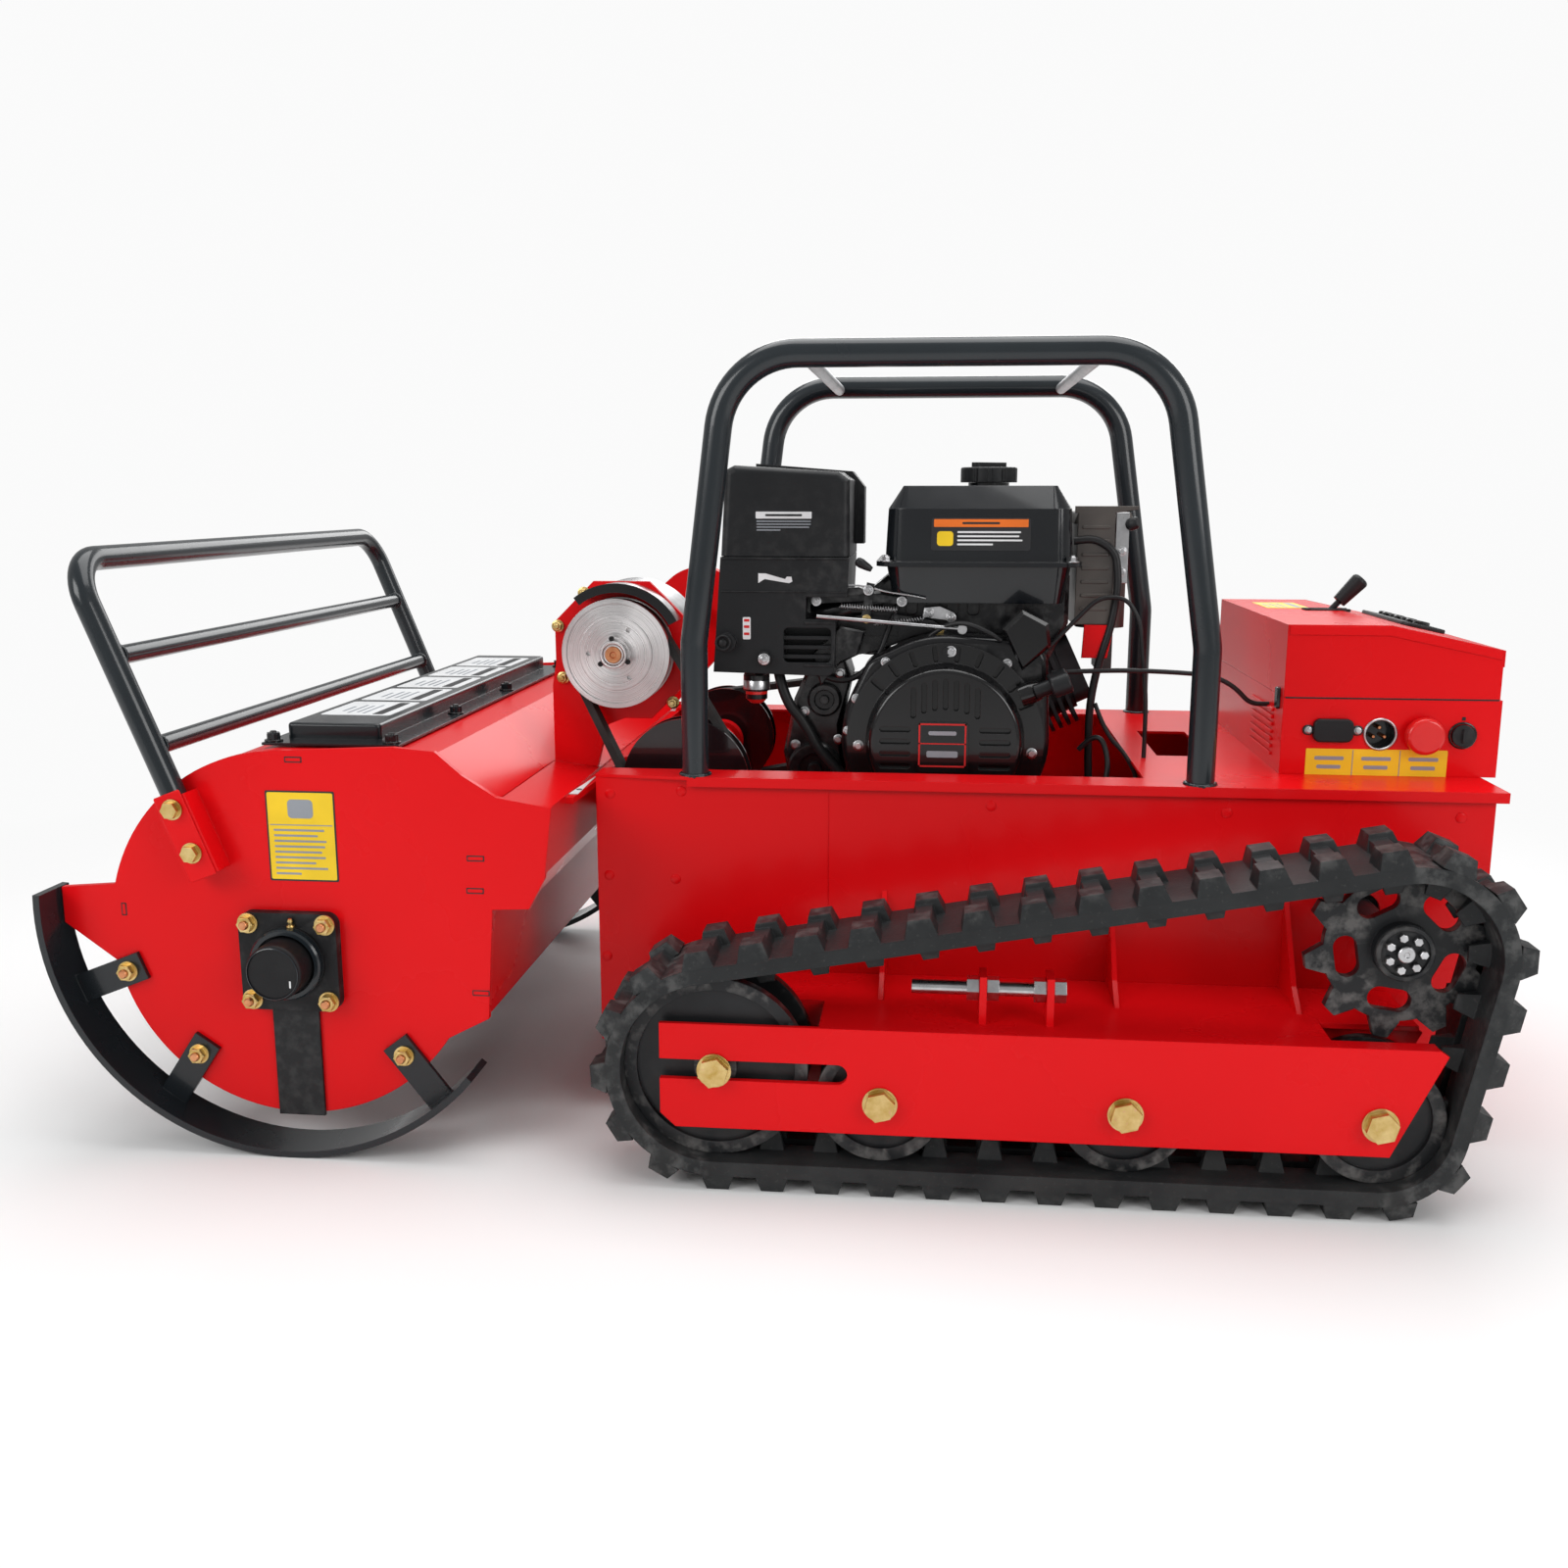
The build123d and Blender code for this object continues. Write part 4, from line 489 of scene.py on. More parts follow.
def finishPiece(name, bm, finish, body, slotName=None, smooth=38, bevel=0.0):
    bmesh.ops.recalc_face_normals(bm, faces=bm.faces)
    bmesh.ops.scale(bm, vec=(mm, mm, mm), verts=bm.verts)
    mesh = bpy.data.meshes.new(name)
    bm.to_mesh(mesh)
    bm.free()
    for face in mesh.polygons:
        face.use_smooth = True
    mesh.set_sharp_from_angle(angle=math.radians(smooth))
    piece = linkPiece(name, mesh, finish, body, slotName)
    if bevel:
        rounding = piece.modifiers.new("rounding", "BEVEL")
        rounding.width = bevel * mm
        rounding.segments = 2
        rounding.limit_method = "ANGLE"
        rounding.angle_limit = math.radians(40)


def tubePiece(name, points, radius, finish, body, slotName=None):
    curve = bpy.data.curves.new(name, "CURVE")
    curve.dimensions = "3D"
    curve.bevel_depth = radius * mm
    curve.bevel_resolution = 4
    curve.resolution_u = 10
    curve.use_fill_caps = True
    spline = curve.splines.new("NURBS")
    spline.points.add(len(points) - 1)
    for point, place in zip(spline.points, points):
        point.co = (*[v * mm for v in place], 1.0)
    spline.order_u = 3
    spline.use_endpoint_u = True
    linkPiece(name, curve, finish, body, slotName)


def printedMaterial(name, color, rough=0.35):
    dark = tuple(v * 0.86 for v in color)
    return coatedMaterial(name, {
        "dark": dark, "light": color, "broad": 18.0, "roughness": (rough, rough + 0.14),
        "grain": 500.0, "bump": 0.06, "depth": 0.0002})


labelYellow = printedMaterial("labelYellow", (0.86, 0.58, 0.02))
labelOrange = printedMaterial("labelOrange", (0.80, 0.17, 0.02))
labelWhite = printedMaterial("labelWhite", (0.72, 0.73, 0.74))
labelGrey = printedMaterial("labelGrey", (0.28, 0.30, 0.33))
labelBlack = printedMaterial("labelBlack", (0.025, 0.025, 0.027))
labelRed = printedMaterial("labelRed", (0.60, 0.02, 0.02))
copperEnd = coatedMaterial("copperEnd", {
    "dark": (0.52, 0.20, 0.09), "light": (0.72, 0.34, 0.17), "broad": 90.0,
    "roughness": (0.25, 0.45), "grain": 300.0, "bump": 0.2, "depth": 0.0004, "metallic": 1.0})
# the record's slot that each finish takes
slotOf = {
    redCoat: "red_body", tubeCoat: "dark_tube", blackPlastic: "black_plastic",
    glossPlastic: "black_plastic", zincBright: "bright_steel", zincGold: "zinc_steel",
    enginePaint: "engine_alloy", tankPaint: "tank_paint", hotSteel: "heat_metal",
    cableSheath: "cable_rubber", copperEnd: "bright_steel", wheelCoat: "wheel_paint",
    castBlack: "cast_dark", turnedSteel: "bright_steel", beltFabric: "belt_rubber",
    signalRed: "signal_red"}
# outwards on the near side
sideward = (0, -1, 0)


# grinding head

def makeCoverPanels():
    look = {"x": (-561.0, -474.0), "top": 498.0, "thick": 0.5, "step": 128.0, "length": 112.0,
            "firstY": -300.0, "count": 5}
    plates, bars, greys = newMeshes(3)
    middleX = sum(look["x"]) / 2
    width = look["x"][1] - look["x"][0]
    for number in range(look["count"]):
        y = look["firstY"] + look["step"] * number + look["length"] / 2
        slab(plates, levelOutline((middleX, y, look["top"]), width, look["length"], 5),
             (0, 0, look["thick"]))
        top = look["top"] + look["thick"]
        slab(bars, levelOutline((middleX + 26, y, top), 13, look["length"] - 14, 2), (0, 0, 0.2))
        for row, reach in ((6, 0.62), (-4, 0.5), (-14, 0.58), (-25, 0.36)):
            slab(greys, levelOutline((middleX + row, y - 8, top), 3.6, look["length"] * reach, 1),
                 (0, 0, 0.2))
    finishAll("head", ("coverPlates", plates, labelWhite), ("coverPlateBars", bars, labelBlack),
              ("coverPlateLines", greys, labelGrey))


def makeCoverBolts():
    look = {"z": 479.0, "flats": 13.0, "height": 7.0, "washer": 10.5, "thick": 2.2,
            "rearX": -441.0, "frontX": -583.0}
    bm = bmesh.new()
    spots = [(look["frontX"], -381, look["z"]), (look["frontX"], 381, look["z"])]
    spots += [(look["rearX"], y, look["z"]) for y in (-381, -150, 80, 381)]
    boltSet(bm, spots, (0, 0, 1), look["flats"], look["height"], look["washer"], look["thick"], 3)
    finishPiece("coverBolts", bm, glossPlastic, "head", "dark_tube")


def makeHeadLabel():
    look = {"middle": (-535.0, 377.0), "size": (82.0, 106.0), "y": -428.0, "thick": 0.5}
    plate, rim, lines = newMeshes(3)
    x, z = look["middle"]
    width, height = look["size"]
    slab(rim, uprightOutline((x, look["y"], z), width, height, 2), (0, -look["thick"] * 0.8, 0))
    slab(plate, uprightOutline((x, look["y"], z), width - 4, height - 4, 2),
         (0, -look["thick"], 0))
    face = look["y"] - look["thick"]
    slab(lines, uprightBlock(face, x - 37, x + 37, z + 12.5, z + 13.7), (0, -0.2, 0))
    slab(lines, uprightOutline((x, face, z + 32), 30, 22, 5), (0, -0.2, 0))
    for row, reach in enumerate((60, 52, 62, 60, 56, 60, 48, 62, 30)):
        slab(lines, uprightOutline((x - 33 + reach / 2, face, z + 7 - 6.4 * row), reach, 2.4, 0.8),
             (0, -0.2, 0))
    finishAll("head", ("headLabelRim", rim, labelBlack), ("headLabel", plate, labelYellow),
              ("headLabelLines", lines, labelGrey))


def makeBearingDress():
    look = {"x": -555.0, "z": 230.0, "flangeY": -441.0, "capY": -484.0}
    rings, nipple, mark = newMeshes(3)
    lathe(rings, [(36, 0), (42.5, 0), (42.5, 7), (40.5, 9), (36, 9), (36, 0)],
          (look["x"], look["flangeY"] - 4, look["z"]), sideward, 48)
    lathe(rings, [(29.5, -1), (30.5, -1), (30.5, 1.1), (29.5, 1.6), (29.5, -1)],
          (look["x"], look["capY"], look["z"]), sideward, 48)
    finishPiece("bearingRings", rings, tubeCoat, "head", "cast_dark")
    lathe(nipple, [(0, 0), (4.6, 0), (4.6, 3), (2.6, 4.5), (2.6, 8), (3.4, 9), (2.2, 12), (0, 12)],
          (look["x"] + 6, look["flangeY"] - 2, look["z"] + 42), (0.1, -0.25, 1), 20)
    finishPiece("greaseNipple", nipple, zincGold, "head")
    slab(mark, uprightBlock(look["capY"], look["x"] + 19, look["x"] + 21, look["z"] - 16,
                            look["z"] - 8), (0, -0.3, 0))
    finishPiece("capMark", mark, labelWhite, "head")


def ringBead(bm, place, axis, ringRadius, beadRadius, seed):
    # a weld bead: a torus whose width wanders as a hand-laid one does
    side, up, along = basisOf(axis)
    place = Vector(place)
    chance = random.Random(seed)
    around, across = 60, 8
    loops = []
    for i in range(around):
        angle = math.tau * i / around
        out = side * math.cos(angle) + up * math.sin(angle)
        size = beadRadius * (0.9 + 0.12 * math.sin(i * 2.1) + 0.12 * chance.random())
        loop = []
        for j in range(across):
            turn = math.tau * j / across
            loop.append(bm.verts.new(place + out * (ringRadius + size * math.cos(turn))
                                     + along * size * math.sin(turn)))
        loops.append(loop)
    joinRings(bm, [*loops, loops[0]], closed=False)


def makeWelds():
    look = {"hoopX": (-102.0, 490.0), "hoopY": 287.0, "deckZ": 431.0, "hoopRadius": 16.5,
            "railZ": (582.0, 480.0), "railRadius": 11.3, "bead": 2.6, "foot": (-643.0, 338.0),
            "lean": 135.0 / 351.0}
    hoopWelds, guardWelds = newMeshes(2)
    seed = 3
    for x in look["hoopX"]:
        for y in (-look["hoopY"], look["hoopY"]):
            ringBead(hoopWelds, (x, y, look["deckZ"]), (0, 0, 1), look["hoopRadius"],
                     look["bead"] + 0.6, seed)
            seed += 1
    for z in look["railZ"]:
        x = look["foot"][0] - (z - look["foot"][1]) * look["lean"]
        for side in (-1, 1):
            ringBead(guardWelds, (x, side * 430.5, z), (0, 1, 0), look["railRadius"],
                     look["bead"], seed)
            seed += 1
    finishPiece("hoopWelds", hoopWelds, tubeCoat, "carrier", smooth=60)
    finishPiece("guardWelds", guardWelds, tubeCoat, "head", smooth=60)


def makePulleyDress():
    look = {"x": -214.0, "z": 566.0}
    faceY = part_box("clutch_pulley")[0].y / mm
    screws, end, rim = newMeshes(3)
    for number in range(3):
        place = onCircle(look["x"], faceY, look["z"], 20, 95 + 120 * number)
        lathe(screws, [(0, -1), (3.4, -1), (3.4, 0.9), (2.9, 1.3), (1.8, 1.3), (1.6, 0.2),
                       (0, 0.2)], place, sideward, 18)
    lathe(end, [(0, -2), (10.5, -2), (10.5, 1.0), (9.6, 2.2), (4.2, 2.2), (3.2, 0.6), (0, 0.6)],
          (look["x"], faceY, look["z"]), sideward, 36)
    lathe(rim, [(13.5, -1), (17, -1), (17, 1.2), (16.4, 1.7), (14.1, 1.7), (13.5, 1.2),
                (13.5, -1)], (look["x"], faceY, look["z"]), sideward, 44)
    finishAll("clutch_pulley", ("pulleyScrews", screws, castBlack),
              ("pulleyShaftEnd", end, copperEnd), ("pulleyHubRing", rim, turnedSteel))


def makeBeltShield():
    look = {"middle": (-214.0, 566.0), "inner": 84.0, "outer": 86.0, "start": 28.0, "end": 128.0,
            "y": (-200.0, -60.0)}
    shield, lip = newMeshes(2)
    arcBand(shield, look["middle"], look["inner"], look["outer"], look["start"], look["end"],
            *look["y"])
    arcBand(lip, look["middle"], look["inner"] - 9, look["outer"] + 0.4, look["start"],
            look["end"], look["y"][0] - 1.5, look["y"][0])
    finishAll("head", ("beltShield", shield, zincBright),
              ("beltShieldLip", lip, glossPlastic, "dark_tube"))


def makeBracketBolts():
    bm = bmesh.new()
    spots = [(-297, -166, 596), (-262, -166, 638), (-292, -166, 530), (-150, -166, 500)]
    boltSet(bm, spots, sideward, 11, 6, 8, 1.6, 2.5)
    finishPiece("bracketBolts", bm, zincGold, "head")


def makeBoltStuds():
    # nuts on the plain bolt heads, with the turned end of each screw standing out
    look = {"bearing": (-555.0, 230.0), "half": 46.0, "tabs": (201.5, 236.0, 307.4),
            "circle": (-556.0, 289.0, 215.0), "bearingTop": 451.0, "tabTop": 444.0}
    ends, collars = newMeshes(2)
    x, z = look["bearing"]
    spots = [(x + i * look["half"], z + j * look["half"]) for i in (-1, 1) for j in (-1, 1)]
    centreX, centreZ, radius = look["circle"]
    for turn in look["tabs"]:
        spotX, _, spotZ = onCircle(centreX, 0, centreZ, radius, turn)
        spots.append((spotX, spotZ))
    seats = [look["bearingTop"]] * 4 + [look["tabTop"]] * 3
    for side in (-1, 1):
        for (spotX, spotZ), seat in zip(spots, seats):
            lathe(ends, [(0, -1), (5.2, -1), (5.2, 3.6), (4.2, 4.8), (2.0, 5.2), (0, 4.6)],
                  (spotX, side * seat, spotZ), (0, side, 0), 24)
            lathe(collars, [(5.4, -0.5), (8.6, -0.5), (8.2, 0.6), (5.4, 0.9), (5.4, -0.5)],
                  (spotX, side * seat, spotZ), (0, side, 0), 24)
    finishAll("head", ("boltEnds", ends, copperEnd, "zinc_steel"),
              ("boltCollars", collars, zincGold))


def makeWeldSlots():
    look = {"y": 428.0, "spots": ((-540, 466, 19, 5.4), (-332, 356, 19, 5.4),
                                  (-334, 318, 19, 5.4), (-332, 196, 19, 5.4),
                                  (-758, 284, 5, 14))}
    rims, grooveShade = newMeshes(2)
    for side in (-1, 1):
        for x, z, wide, tall in look["spots"]:
            # painted shade: thin black strips round each tab stand in for the shade in the slot's
            # groove
            for dx, dz, w, h in ((0, tall / 2, wide, 0.9), (0, -tall / 2, wide, 0.9),
                                 (wide / 2, 0, 0.9, tall), (-wide / 2, 0, 0.9, tall)):
                slab(grooveShade, uprightOutline((x + dx, side * look["y"], z + dz), w + 0.6, h + 0.6,
                                           0.3), (0, side * 0.25, 0))
            slab(rims, uprightOutline((x, side * look["y"], z), wide - 1.2, tall - 1.2, 0.6),
                 (0, side * 0.4, 0))
    finishAll("head", ("weldSlotGrooveShade", grooveShade, labelBlack, "red_body"),
              ("weldSlotTabs", rims, redCoat))


def makeGuardSockets():
    # folded channel over the foot of each guard leg
    look = {"foot": (-643.0, 338.0), "lean": (-0.359, 0.9333), "half": 17.0,
            "length": (-6.0, 98.0), "near": 457.3, "thick": 1.6}
    bm = bmesh.new()
    along = Vector((look["lean"][0], 0, look["lean"][1]))
    across = Vector((look["lean"][1], 0, -look["lean"][0]))
    start, end = look["length"]
    for side in (-1, 1):
        foot = Vector((look["foot"][0], side * look["near"], look["foot"][1]))
        middle = foot + along * (start + end) / 2
        slab(bm, roundedOutline(middle, across, along, 2 * look["half"], end - start, 2.5),
             (0, side * look["thick"], 0))
        edge = foot - across * look["half"]
        slab(bm, [edge + along * start, edge + along * end, edge + along * end + across * 2,
                  edge + along * start + across * 2], (0, -side * (look["near"] - 428.5), 0))
    finishPiece("guardSockets", bm, redCoat, "head", bevel=0.8)


def makeHitchMark():
    look = {"z": 412.4, "points": ((-247, -330), (-240, -215), (-236, -330))}
    plate, ring = newMeshes(2)
    slab(plate, [(x, y, look["z"]) for x, y in look["points"]], (0, 0, 0.6))
    lathe(ring, [(1.8, 0), (3.4, 0), (3.4, 0.5), (1.8, 0.5), (1.8, 0)],
          (-240.5, -305, look["z"] + 0.6), (0, 0, 1), 24)
    finishAll("head", ("hitchPlate", plate, labelWhite), ("hitchPlateRing", ring, labelBlack))


for make in (makeCoverPanels, makeCoverBolts, makeHeadLabel, makeBearingDress, makeWelds,
             makePulleyDress, makeBeltShield, makeBracketBolts, makeBoltStuds, makeWeldSlots,
             makeGuardSockets, makeHitchMark):
    make()
print("head dressed")


# hull and tracks

def makeHullRivets():
    look = {"spots": ((-205, 407), (-118, 412), (-208, 306), (-126, 303), (-213, 203),
                      (780, 400), (780, 330), (520, 400), (250, 402)), "half": 297.0}
    bm = bmesh.new()
    for side in (-1, 1):
        for x, z in look["spots"]:
            lathe(bm, [(6.2, 0), (6.0, 0.8), (4.2, 1.5), (2.0, 1.8), (0, 1.8)],
                  (x, side * look["half"], z), (0, side, 0), 24)
    finishPiece("hullRivets", bm, redCoat, "carrier")


def makeHullSeams():
    look = {"x": (58.4, 59.6), "z": (240, 426), "half": 297.0, "thick": 0.4}
    bm = bmesh.new()
    for side in (-1, 1):
        slab(bm, uprightBlock(side * look["half"], *look["x"], *look["z"]),
             (0, side * look["thick"], 0))
    finishPiece("hullSeams", bm, redCoat, "carrier")


def makeSprocketDress():
    look = {"x": 679.0, "z": 288.0, "nuts": 7, "circle": 18.0}
    for side, name in ((-1, "left"), (1, "right")):
        low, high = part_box(f"sprocket_{name}")
        face = (low.y if side < 0 else high.y) / mm
        nuts, ring = newMeshes(2)
        for number in range(look["nuts"]):
            turn = 360 * number / look["nuts"]
            hexPart(nuts, onCircle(look["x"], face - side * 0.5, look["z"], look["circle"], turn),
                    (0, side, 0), 8.2, 3.6, math.radians(turn))
        lathe(nuts, [(0, 0), (9, 0), (9, 3.4), (7.8, 4.4), (3.2, 4.4), (2.6, 3.2), (0, 3.2)],
              (look["x"], face - side * 0.5, look["z"]), (0, side, 0), 30)
        lathe(ring, [(25, -3.6), (30.2, -3.6), (30.2, -1.2), (29.4, -0.4), (25.8, -0.4),
                     (25, -1.2), (25, -3.6)], (look["x"], face, look["z"]), (0, side, 0), 48)
        finishPiece(f"sprocketNuts_{name}", nuts, zincBright, f"sprocket_{name}")
        finishPiece(f"sprocketRing_{name}", ring, wheelCoat, f"sprocket_{name}")


for make in (makeHullRivets, makeHullSeams, makeSprocketDress):
    make()
print("hull and tracks dressed")


# engine

def makeFilterDress():
    look = {
        "y": -150.0, "label": (-10, 735), "linesLeft": -44, "linesTop": 727.5, "linesStep": 3.6,
        "lines": (68, 68, 66, 30),
        "arrow": ((-42, 651), (-42, 663), (-33, 663), (-8, 656), (-6, 659), (0, 659), (1, 653),
                  (-3, 651), (-10, 652), (-34, 656)),
        "tag": (-57, 594), "tagMarks": (-7, 2, 10), "knob": (-86, 576), "screw": (-34, 556),
        "standOff": 9, "seamX": (-89, 70), "seams": ((681.6, 3.0), (640.0, 1.6)),
        "bars": ((16, 52, 546, 549), (16, 56, 600, 603))}
    white, grey, red, steel, black = newMeshes(5)
    y = look["y"]
    x, z = look["label"]
    slab(white, uprightOutline((x, y, z), 70, 8.5, 1), (0, -0.4, 0))
    slab(black, uprightOutline((x, y - 0.4, z), 46, 2.6, 1), (0, -0.2, 0))
    for row, reach in enumerate(look["lines"]):
        place = (look["linesLeft"] + reach / 2, y, look["linesTop"] - look["linesStep"] * row)
        slab(grey, uprightOutline(place, reach, 1.5, 0.5), (0, -0.3, 0))
    slab(white, atDepth(y, *look["arrow"]), (0, -0.4, 0))
    x, z = look["tag"]
    slab(white, uprightOutline((x, y, z), 10, 28, 1.5), (0, -0.3, 0))
    for rise in look["tagMarks"]:
        slab(red, uprightOutline((x, y - 0.3, z + rise), 7, 3.4, 0.8), (0, -0.2, 0))
    x, z = look["knob"]
    lathe(black, [(7.4, 0), (10.4, 0), (10.4, 2.8), (9.4, 3.6), (8.2, 3.6), (7.4, 2.8),
                  (7.4, 0)], (x, y - look["standOff"], z), sideward, 36)
    hexPart(black, (x, y - look["standOff"], z), sideward, 9, 3.0, 0.3)
    x, z = look["screw"]
    boltSet(steel, [(x, y - look["standOff"], z)], sideward, 8.5, 3.0, 7.4, 1.4)
    for z, thick in look["seams"]:
        slab(black, uprightBlock(y, *look["seamX"], z - thick / 2, z + thick / 2), (0, -1.4, 0),
             0.4)
    for bar in look["bars"]:
        slab(black, uprightBlock(y, *bar), (0, -2.2, 0), 0.5)
    finishAll("carrier", ("filterLabel", white, labelWhite), ("filterLabelLines", grey, labelGrey),
              ("filterLabelMarks", red, labelRed), ("filterTrim", black, blackPlastic),
              ("filterScrew", steel, zincBright))


def springWire(bm, start, end, coil, wire, turns):
    start, end = Vector(start), Vector(end)
    side, up, along = basisOf(end - start)
    length = (end - start).length
    steps = turns * 14
    rings = []
    for i in range(steps + 1):
        share = i / steps
        angle = math.tau * turns * share
        out = side * math.cos(angle) + up * math.sin(angle)
        centre = start + along * length * share + out * coil
        rings.append([bm.verts.new(centre + wire * (out * math.cos(math.tau * j / 6)
                                                    + along * math.sin(math.tau * j / 6)))
                      for j in range(6)])
    joinRings(bm, rings)


def makeLinkage():
    # levers between the air filter and the tank: distance from Y, thickness, outline in X and Z
    look = {
        "y": -132.0, "chamfer": 0.5,
        "levers": (
            (0, 2.4, ((22, 634), (92, 640), (142, 632), (146, 624), (92, 628), (22, 624))),
            (-4, 2.2, ((86, 600), (98, 600), (104, 650), (94, 652))),
            (-2, 2.0, ((128, 612), (178, 604), (200, 588), (190, 584), (166, 596), (128, 600)))),
        "link": (-5, 1.6, ((44, 642), (84, 646), (96, 640), (84, 636), (46, 634))),
        "bracket": (8, 3.0, ((-8, 612), (22, 612), (22, 632), (-8, 632))),
        "plate": (6, 2.0, ((164, 608), (198, 604), (204, 614), (186, 622), (166, 620))),
        "screws": ((138, -3, 628), (96, -6, 642), (172, 4, 614), (200, 4, 608), (30, -2.4, 628)),
        "goldScrews": ((94, -6.2, 606), (186, -4, 592)),
        "chokeRod": ((60, -134, 646), (84, -135, 650), (116, -136, 640), (150, -136, 636),
                     (168, -135, 632)),
        "knob": (100, -142, 668), "knobAxis": (-0.85, -0.1, 0.5)}
    steel, dark, springs, gold = newMeshes(4)
    y, chamfer = look["y"], look["chamfer"]

    def lever(bm, row, bevel=chamfer):
        step, thick, outline = row
        slab(bm, atDepth(y + step, *outline), (0, -thick, 0), bevel)

    first, upright, last = look["levers"]
    lever(dark, first)
    lever(dark, look["link"], 0.4)
    lever(dark, upright)
    lever(steel, look["plate"])
    lever(dark, last)
    lever(dark, look["bracket"], 0.6)
    springWire(springs, (60, y - 8, 622), (132, y - 8, 618), 3.4, 0.55, 22)
    springWire(springs, (104, y - 6, 600), (166, y - 6, 607), 2.8, 0.5, 18)
    boltSet(steel, [(x, y + step, z) for x, step, z in look["screws"]], sideward, 8, 4, 6.5, 1.2,
            2.0)
    boltSet(gold, [(x, y + step, z) for x, step, z in look["goldScrews"]], sideward, 7, 3.6, 5.6,
            1.0)
    finishPiece("linkLevers", dark, enginePaint, "carrier")
    finishPiece("linkPlates", steel, zincBright, "carrier")
    finishPiece("linkSprings", springs, zincBright, "carrier")
    finishPiece("linkScrews", gold, zincGold, "carrier")
    tubePiece("chokeRod", look["chokeRod"], 1.3, zincBright, "carrier")
    knob = bmesh.new()
    lathe(knob, [(0, 0), (3.2, 0), (4.6, 5), (6.2, 15), (5.8, 20), (3.8, 22.5), (0, 23)],
          look["knob"], look["knobAxis"], 24)
    finishPiece("chokeKnob", knob, blackPlastic, "carrier")


def makeRecoilDress():
    look = {"badge": (192.0, 459.0), "size": (58.0, 54.0), "badgeY": -216.0,
            "bolts": ((200, 571), (88, 452), (302, 446)), "ringY": -186.0}
    steel, red, black, grey = newMeshes(4)
    boltSet(steel, [(x, look["ringY"], z) for x, z in look["bolts"]], sideward, 8, 4.5, 7, 1.4)
    x, z = look["badge"]
    width, height = look["size"]
    y = look["badgeY"]
    frameLines = ((x, z + height / 2 - 1, width, 2.0), (x, z - height / 2 + 1, width, 2.0),
                  (x, z + 2, width, 1.4))
    for lineX, lineZ, lineWide, lineTall in frameLines:
        slab(red, uprightOutline((lineX, y, lineZ), lineWide, lineTall, 0.5), (0, -0.5, 0))
    for lineX in (x - width / 2 + 1, x + width / 2 - 1):
        slab(red, uprightOutline((lineX, y, z), 2.0, height, 0.5), (0, -0.5, 0))
    slab(grey, uprightOutline((x, y, z + 15), 34, 5, 2), (0, -0.3, 0))
    slab(grey, uprightOutline((x, y, z - 11), 38, 8, 2), (0, -0.3, 0))
    # rope guide beside the handle, and the plug boot above it
    lathe(black, [(10, 0), (13, 0), (14, 12), (12, 24), (9, 27), (9, 0)], (286, -190, 517),
          (0.93, 0, 0.368), 30)
    slab(black, atDepth(-150, (262, 598), (286, 622), (318, 606), (322, 578), (288, 548)),
         (0, -34, 0), 5)
    finishAll("carrier", ("recoilBolts", steel, zincBright, "zinc_steel"),
              ("recoilBadgeLines", red, labelRed), ("recoilBadgeBars", grey, labelGrey),
              ("ropeGuide", black, glossPlastic))


def makeTankDress():
    look = {"label": (234.5, 712.0), "size": (122.0, 40.0), "wallLow": (0, -141.0, 680.0),
            "wallHigh": (0, -137.8, 742.0)}
    # the near wall leans in, so the label follows it
    wallLow, wallHigh = Vector(look["wallLow"]), Vector(look["wallHigh"])
    lean = (wallHigh - wallLow).normalized()
    out = lean.cross(Vector((1, 0, 0))).normalized()
    out = out if out.y < 0 else -out
    x, z = look["label"]
    middle = wallLow + lean * ((z - wallLow.z) / lean.z) + Vector((x, 0, 0))
    width, height = look["size"]
    black, orange, white, yellow = newMeshes(4)
    slab(black, roundedOutline(middle, (1, 0, 0), lean, width, height, 3), out * 0.6)
    top = middle + out * 0.6
    slab(orange, roundedOutline(top + lean * 13.5, (1, 0, 0), lean, width - 6, 9.5, 1), out * 0.3)
    slab(black, roundedOutline(top + lean * 13.5 + out * 0.3, (1, 0, 0), lean, 46, 2.6, 1),
         out * 0.2)
    slab(yellow, roundedOutline(top + Vector((-44, 0, 0)) - lean * 5.5, (1, 0, 0), lean, 20, 18,
                                4), out * 0.3)
    for row, reach in enumerate((78, 76, 80, 44)):
        place = top + Vector((-29 + reach / 2, 0, 0)) - lean * (-2.5 + 5.0 * row)
        slab(white, roundedOutline(place, (1, 0, 0), lean, reach, 2.2, 0.8), out * 0.3)
    finishAll("carrier", ("tankLabel", black, labelBlack), ("tankLabelBand", orange, labelOrange),
              ("tankLabelMark", yellow, labelYellow), ("tankLabelLines", white, labelWhite))
    # pressed shoulders on the tank's roof, either side of the filler
    ribs = bmesh.new()
    for side in (-1, 1):
        for nearY in (-118, 30):
            slab(ribs, [(233 + side * 96, nearY, 768), (233 + side * 58, nearY, 768),
                        (233 + side * 50, nearY + 46, 768), (233 + side * 96, nearY + 46, 768)],
                 (0, 0, 3.0), 1.6)
    finishPiece("tankShoulders", ribs, tankPaint, "carrier")
    flangeBolts = bmesh.new()
    boltSet(flangeBolts, [(118, -140, 678), (348, -140, 678)], (0, 0, 1), 9, 5, 8, 1.5, 2)
    finishPiece("tankBolts", flangeBolts, zincBright, "carrier")


